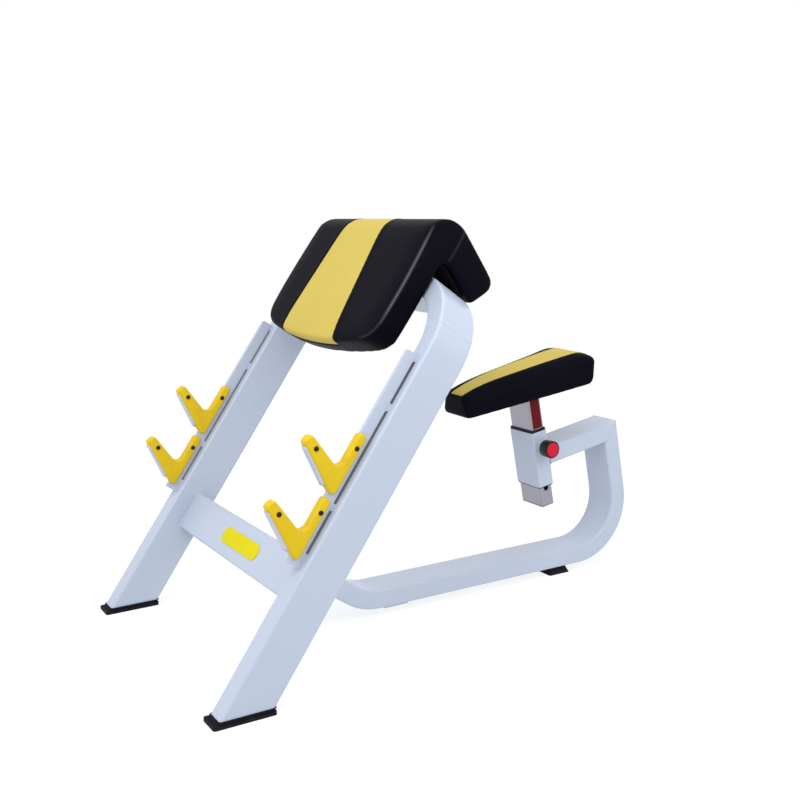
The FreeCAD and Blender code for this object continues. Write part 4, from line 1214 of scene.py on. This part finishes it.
rail_loop = loop_path(RAIL_AT, AXES[0], AXES[2], TUBE_DEEP, TUBE_THIN)
beads = leg_welds(-1) + leg_welds(1) + [bead(rail_loop, AXES[1], FRAME_BEAD)]
beads = carried(beads, from_leg)

slant = np.array([0, math.sqrt(0.5), math.sqrt(0.5)])
boss_ring = turned(np.array([[BOSS_FACE, BOSS_RADIUS]]), BOSS_POINTS)[0] + (0, 0, LOCK_UP)
arm_loop = loop_path(SEAT_ARM_AT, AXES[0], AXES[2], TUBE_DEEP, TUBE_THIN)
mitre_loop = loop_path(MITRE_AT, AXES[0], slant, TUBE_DEEP, TUBE_THIN * math.sqrt(2))
seat_beads = [bead(arm_loop, AXES[1], ARM_BEAD),
              bead(mitre_loop, np.cross(AXES[0], slant), MITRE_BEAD, ripple=0),
              bead(evenly(boss_ring, BEAD_STEP, True), AXES[0], BOSS_BEAD)]
beads += carried(seat_beads, from_post)
frame_welds = joined("frame_welds", beads, white_paint)
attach(frame_welds, "frame")

# The elbow seams wear the lighter white: a painted highlight along each ground weld.
elbow_seams = joined("elbow_seams", carried([elbow_seam(-1), elbow_seam(1)], from_leg), seam_highlight_paint)
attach(elbow_seams, "frame")

post_loop = loop_path(POST_TOP, AXES[0], AXES[1], POST_WIDE, POST_THICK, POST_CORNER)
post_beads = carried([bead(post_loop, AXES[2], TAB_BEAD)], from_post)
post_weld = joined("post_weld", post_beads, black_paint)
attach(post_weld, "seat")
print("welds", len(frame_welds.data.polygons) + len(post_weld.data.polygons), "faces")

# %% [markdown]
# Below each front arm the moulding is open, and the painted steel that carries it shows as a
# pale strip. It is a small rounded rectangle carried along the arm's underside, stopping
# short of the tip.

# %% Steel under the arms
BACK_HALF = 0.0095
BACK_THICK = 0.0062
BACK_SHORT = 0.013
BACK_ROUND = 0.0012
BACK_LIFT = 0.35
BACK_RINGS = 12


def arm_back(side, along):
    """A small section at each point of the underside's line, lifted by part of its thickness."""
    vertex = np.array([VEE_OUT, along])
    tip = vertex + FRONT_WAY * (FRONT_LONG - BACK_SHORT) + FRONT_BACK * FRONT_THICK
    belly = vertex + BELLY
    way = unit(belly - tip)
    off = np.array([-way[1], way[0]])
    off *= np.sign(off @ FRONT_BACK)
    share = np.linspace(0, 1, BACK_RINGS)[:, None]
    line = tip + (belly - tip) * share + off * BACK_THICK * BACK_LIFT
    section = corner_chain(SQUARE * np.array([BACK_HALF, BACK_THICK / 2]), BACK_ROUND, 4)
    x = np.broadcast_to(side * LEG_X + section[:, 0], (len(line), len(section)))
    spot = line[:, None] + off * section[:, 1:]
    return np.stack([x, spot[..., 0], spot[..., 1]], -1)


backs = [(arm_back(side, along), False) for side in (-1, 1) for along in VEE_ALONG.values()]
arm_backs = joined("arm_backs", carried(backs, from_leg), white_paint)
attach(arm_backs, "frame")
print(len(backs), "steel backs")

# %% [markdown]
# Each bar rest is held by two through screws with low domed heads and hexagon sockets. The
# head is a turned surface whose radius, inside the socket only, follows a hexagon: the
# apothem over the cosine of the angle from the nearest flat.

# %% Screw heads
HEAD_RADIUS = 0.0055
HEAD_HIGH = 0.0029
HEAD_SUNK = 0.0004
HEAD_RIM = 0.0006
HEAD_POINTS = 36
DOME_TURN = 1.08
DOME_RINGS = 7
SOCKET_APOTHEM = 0.0017
SOCKET_DEEP = 0.0019
SOCKET_RINGS = np.array([1.06, 1.0, 1.0, 0.02])[:, None]
SOCKET_LIP, SOCKET_CONE = 0.0002, 0.0003
REAR_SCREW_AT = 0.057
FRONT_SCREW_AT = 0.073


def screw_head():
    """Rows from the seat over the dome to the socket's floor, with x along the screw's axis."""
    around = angles(HEAD_POINTS)
    flat_angle = (around + math.pi / 6) % (math.pi / 3) - math.pi / 6
    hexagon = SOCKET_APOTHEM / np.cos(flat_angle)
    dome = np.linspace(0, DOME_TURN, DOME_RINGS)
    dome_r = HEAD_RADIUS * np.cos(dome)[:, None] * np.ones(HEAD_POINTS)
    dome_x = HEAD_RIM + (HEAD_HIGH - HEAD_RIM) * np.sin(dome) / math.sin(DOME_TURN)
    floor_x = HEAD_HIGH - SOCKET_DEEP
    socket_x = [HEAD_HIGH, HEAD_HIGH - SOCKET_LIP, floor_x, floor_x - SOCKET_CONE]
    radius = np.concatenate([np.full((1, HEAD_POINTS), HEAD_RADIUS), dome_r,
                             hexagon * SOCKET_RINGS])
    x = np.concatenate([[-HEAD_SUNK], dome_x, socket_x])
    x = np.broadcast_to(x[:, None], radius.shape)
    return np.stack([x, radius * np.cos(around), radius * np.sin(around)], -1)


heads = []
for side in (-1, 1):
    for along in VEE_ALONG.values():
        vertex = np.array([VEE_OUT, along])
        for at in (vertex + REAR_WAY * REAR_SCREW_AT + REAR_BACK * REAR_THICK / 2,
                   vertex + FRONT_WAY * FRONT_SCREW_AT + FRONT_BACK * FRONT_THICK / 2):
            for cheek in (-1, 1):
                seat_at = np.array([side * LEG_X + cheek * REST_WIDE / 2, *at])
                heads.append((screw_head() * np.array([cheek, 1, 1]) + seat_at, False))
rest_screws = joined("rest_screws", carried(heads, from_leg), dark_screw)
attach(rest_screws, "frame")
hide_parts("liner_screws")
print(len(heads), "screw heads")

# %% [markdown]
# The plate on the crossbar is a bare pressed strip with well rounded corners and a soft rim.
# Its place and size are read from the CAD node, turned into the leg frame. Its outline is a
# chain of four rounded corners, stacked from the crossbar to the face and drawn in at the rim.

# %% Crossbar plate
PLATE_ROUND = 0.019
PLATE_RIM = np.array([[0, 0.0], [0, 0.5], [0.0002, 0.8], [0.0006, 0.95], [0.0012, 1.0]])

plate_places = np.stack(to_leg(*points_of(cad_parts["badge"].data).T), -1)
plate_low, plate_high = plate_places.min(0), plate_places.max(0)
print("plate", np.round((plate_high - plate_low) * 1000, 2), "mm")


def plate_rings():
    """Each ring is the rounded outline, moved in by the rim's inset at its share of the height."""
    corners = np.where(SQUARE < 0, plate_low[[0, 2]], plate_high[[0, 2]])
    outline = corner_chain(corners, PLATE_ROUND, 10)
    rings = outline + inward(outline) * PLATE_RIM[:, 0, None, None]
    out = plate_low[1] + (plate_high[1] - plate_low[1]) * PLATE_RIM[:, 1, None]
    return from_leg(rings[..., 0], np.broadcast_to(out, rings.shape[:2]), rings[..., 1])


crossbar_plate = joined("crossbar_plate", [(plate_rings(), False)], badge_yellow)
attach(crossbar_plate, "frame")
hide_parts("badge")

# %% [markdown]
# The pull knob is a plain turned grip with soft edges and a coloured disc pressed into its
# end. Both are profiles turned about the lock pin's axis: the knob's profile is a closed
# chain of rounded corners, the disc's is a shallow dome with a turned ring near its rim.

# %% Knob
KNOB_CORNERS = np.array([[66.0, 10.6], [66.0, 22.6], [98.0, 23.4], [98.0, 19.2],
                         [96.3, 19.2], [96.3, 5.3], [84.7, 5.3], [84.7, 10.6]]) / 1000
KNOB_ROUNDS = np.array([0.5, 4.0, 2.6, 0.5, 0.2, 0.2, 0.2, 0.2]) / 1000
KNOB_POINTS = 72
DISC_BACK = np.array([[96.4, 0.05], [96.4, 18.9], [98.2, 18.9], [98.45, 18.75]])
DISC_FROM, DISC_TO, DISC_RINGS = 18.4, 0.05, 28
DISC_TOP, DISC_FALL, DISC_RADIUS = 99.5, 0.9, 19
GROOVE_DEEP, GROOVE_AT, GROOVE_HALF = 0.25, 16.2, 0.5


def on_pin_axis(grid):
    return from_post(grid[..., 0], grid[..., 1], LOCK_UP + grid[..., 2])


def disc_profile():
    """From the hidden back, round the rim, over a dome that falls as the radius squared."""
    radius = np.linspace(DISC_FROM, DISC_TO, DISC_RINGS)
    groove = GROOVE_DEEP * np.exp(-((radius - GROOVE_AT) / GROOVE_HALF) ** 2)
    dome = DISC_TOP - DISC_FALL * (radius / DISC_RADIUS) ** 2 - groove
    return np.concatenate([DISC_BACK, np.stack([dome, radius], -1)]) / 1000


knob_grid = turned(corner_chain(KNOB_CORNERS, KNOB_ROUNDS, 6), KNOB_POINTS)
disc_grid = turned(disc_profile(), KNOB_POINTS)
pull_knob = joined("pull_knob", [(on_pin_axis(knob_grid), True)], knob_black)
pull_disc = joined("pull_disc", [(on_pin_axis(disc_grid), False)], knob_red)
for piece, node, slot in ((pull_knob, "knob", "knob_black"), (pull_disc, "knob_cap", "knob_red")):
    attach(piece, "pin")
    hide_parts(node)
print("knob", len(pull_knob.data.polygons), "faces")

# %% [markdown]
# The lock spring sits in the barrel between the plunger's collar and the barrel's cap. It is
# a round wire on a helix, with a closed turn at each end: the rise per turn eases in and out.
# When the knob is pulled the helix shortens towards the cap.

# %% Lock spring
SPRING_FROM, SPRING_TO = 0.0612, 0.0800
SPRING_RADIUS = 0.0065
SPRING_WIRE = 0.0005
SPRING_TURNS = 8
TURN_POINTS = 24
EVEN_RISE = 0.15
OPEN_TURNS = (0.05, 0.95)


def spring_path():
    """Angle runs evenly; the rise is a smooth step, so both end turns lie nearly flat."""
    share = np.linspace(0, 1, SPRING_TURNS * TURN_POINTS)
    rise = EVEN_RISE * share + (1 - EVEN_RISE) * smoothstep(share, *OPEN_TURNS)
    angle = share * SPRING_TURNS * 2 * math.pi
    x = SPRING_FROM + SPRING_WIRE + rise * (SPRING_TO - SPRING_FROM - 2 * SPRING_WIRE)
    return np.stack([x, SPRING_RADIUS * np.cos(angle), SPRING_RADIUS * np.sin(angle)], -1)


coil = drawn(spring_path(), SPRING_WIRE, AXES[0], False)
lock_spring = joined("lock_spring", [(on_pin_axis(coil), False)], zinc_steel)
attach(lock_spring, "frame")
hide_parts("pin_spring")
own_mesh(lock_spring)
print("spring", len(lock_spring.data.polygons), "faces")

# %% [markdown]
# A row of stitches holds the folded seam down, a few millimetres outside the panel. Each
# stitch is a short thread that rises from one needle hole and dips into the next. Rays cast
# square to the cushion find its skin, so the rows follow it wherever the cloth solver left it.

# %% Stitches
STITCH_PITCH = 0.0068
STITCH_LONG = 0.0050
STITCH_RADIUS = 0.00045
STITCH_OFF = 0.0042
STITCH_RINGS, STITCH_POINTS = 5, 6
STITCH_RISE, STITCH_DIP, STITCH_THIN = 0.9, 1.6, 0.8
RAY_START = 0.06
SLOPE_FIRST = sum(map(sum, RUN_COUNTS[:2]))
WING_LAST = sum(map(sum, RUN_COUNTS[:4])) + 2
RIDGE_OUT = 0.03
SEAT_ROW_SHIFT = 0.012


def skin_path(piece, points, outward):
    """Where rays cast inwards from above the skin meet it, with the skin's normals."""
    tree = BVHTree.FromObject(piece, bpy.context.evaluated_depsgraph_get())
    hits = [tree.ray_cast(Vector(p + n * RAY_START), Vector(-n)) for p, n in zip(points, outward)]
    hits = [hit for hit in hits if hit[0] is not None]
    return np.array([hit[0] for hit in hits]), np.array([hit[1] for hit in hits])


def stitches(path, normals):
    """Threads of a few rings along a path: a low arc, its radius fading at both ends."""
    way = unit(np.gradient(path, axis=0))
    share = np.linspace(-1, 1, STITCH_RINGS)
    lift = STITCH_RADIUS * (STITCH_RISE - STITCH_DIP * share ** 2)
    size = STITCH_RADIUS * np.sqrt(1 - STITCH_THIN * share ** 2)
    middle = path[:, None] + way[:, None] * (share * STITCH_LONG / 2)[:, None]
    middle = middle + normals[:, None] * lift[:, None]
    circle = circles(np.cross(way, normals), normals, STITCH_POINTS)
    return [(grid, False) for grid in middle[:, :, None] + circle[:, None] * size[:, None, None]]


def arm_stitch_rows():
    """Even steps over the pad's section, from the lower edge over the ridge to the wing's end."""
    ring = arm_pad_rings(np.zeros(1), np.zeros(1))[0]
    over_top = np.insert(ring[SLOPE_FIRST:WING_LAST], 2, 0, axis=1)
    path = evenly(over_top, STITCH_PITCH, False)[:, :2]
    near = np.argmin(np.linalg.norm(path[:, None] - ring[None], axis=-1), axis=1)
    out_way, along_way = -inward(ring)[near].T
    outward = from_leg(0, out_way, along_way) - from_leg(0, 0, 0)
    out, along = path.T
    level = np.where(out < RIDGE_OUT, PAD_CREST, along)
    half = panel_half(level) + STITCH_OFF
    return [(from_leg(PAD_AT + panel_middle(level) + side * half, out, along), outward)
            for side in (-1, 1)]


def seat_stitch_rows():
    """Points over the seat's crown, from the nose to the back, seen from above the post."""
    y = np.arange(-SEAT_FRONT + SEAT_ROW_SHIFT, SEAT_BACK + SEAT_ROW_SHIFT, STITCH_PITCH)
    half = seat_panel_half(y) + STITCH_OFF
    up = np.broadcast_to(from_post(0, 0, 1) - from_post(0, 0, 0), (len(y), 3))
    top = SEAT_UNDER + SEAT_WALL + SEAT_DOME
    return [(from_seat(SEAT_PANEL_AT + side * half, y, top), up) for side in (-1, 1)]


thread = moulded("thread", (0.020, 0.020, 0.024), 0.55, 1500.0, 0.2).material
for piece, rows, name, body in ((arm_pad, arm_stitch_rows(), "arm_pad_stitches", "frame"),
                                (seat_pad, seat_stitch_rows(), "seat_stitches", "seat")):
    threads = sum((stitches(*skin_path(piece, *row)) for row in rows), [])
    row_piece = joined(name, threads, thread)
    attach(row_piece, body)
    print(name, len(threads), "stitches")

# %% [markdown]
# Studio light: an even white surround, so the floor and backdrop fade into one another,
# with a large soft box overhead, one in front for the far leg and crossbar, a smaller one
# beside the elbows to lighten the upper frame, and a narrow strip that edges the pads.

# %% Floor and light
FLOOR_HALF = 40.0
FLOOR_DARK, FLOOR_PALE = (0.20, 0.20, 0.20, 1), (0.22, 0.22, 0.22, 1)
floor_finish = Finish("floor_pale", Roughness=0.9, Specular_IOR_Level=0.0, Emission_Strength=0.80)
floor_finish.set(Emission_Color=(1, 1, 1, 1))
floor_tone = floor_finish.noise(0.8, 2.0)
floor_finish.set(Base_Color=floor_finish.mix(floor_tone, FLOOR_DARK, FLOOR_PALE))
floor_corners = np.insert(SQUARE, 2, 0, axis=1) * FLOOR_HALF
floor = make_piece("floor", floor_corners, [[0, 1, 2, 3]], floor_finish.material)

world = bpy.data.worlds.new("studio")
bpy.context.scene.world = world
world.use_nodes = True
world.node_tree.nodes["Background"].inputs["Color"].default_value = (1, 1, 1, 1)
world.node_tree.nodes["Background"].inputs["Strength"].default_value = 1.0
bpy.context.scene.view_settings.view_transform = "Standard"


def soft_box(name, at, aim, wide, watts):
    light = bpy.data.lights.new(name, "AREA")
    light.shape = "RECTANGLE"
    light.size, light.size_y = wide
    light.energy = watts
    lamp = bpy.data.objects.new(name, light)
    lamp.location = at
    lamp.rotation_mode = "QUATERNION"
    lamp.rotation_quaternion = (Vector(aim) - Vector(at)).to_track_quat("-Z", "Y")
    bpy.context.scene.collection.objects.link(lamp)


soft_box("top_box", (0.6, -0.6, 3.4), (0, 0, 0.6), (2.2, 2.2), 28)
soft_box("front_box", (0.5, -2.0, 1.9), (-0.3, 0, 0.75), (1.2, 1.2), 9)
soft_box("side_box", (1.5, 0.6, 1.5), (0.2, 0, 0.85), (0.9, 0.9), 9)
soft_box("edge_strip", (1.35, -1.6, 2.55), (0.1, 0, 0.95), (0.16, 1.7), 14)
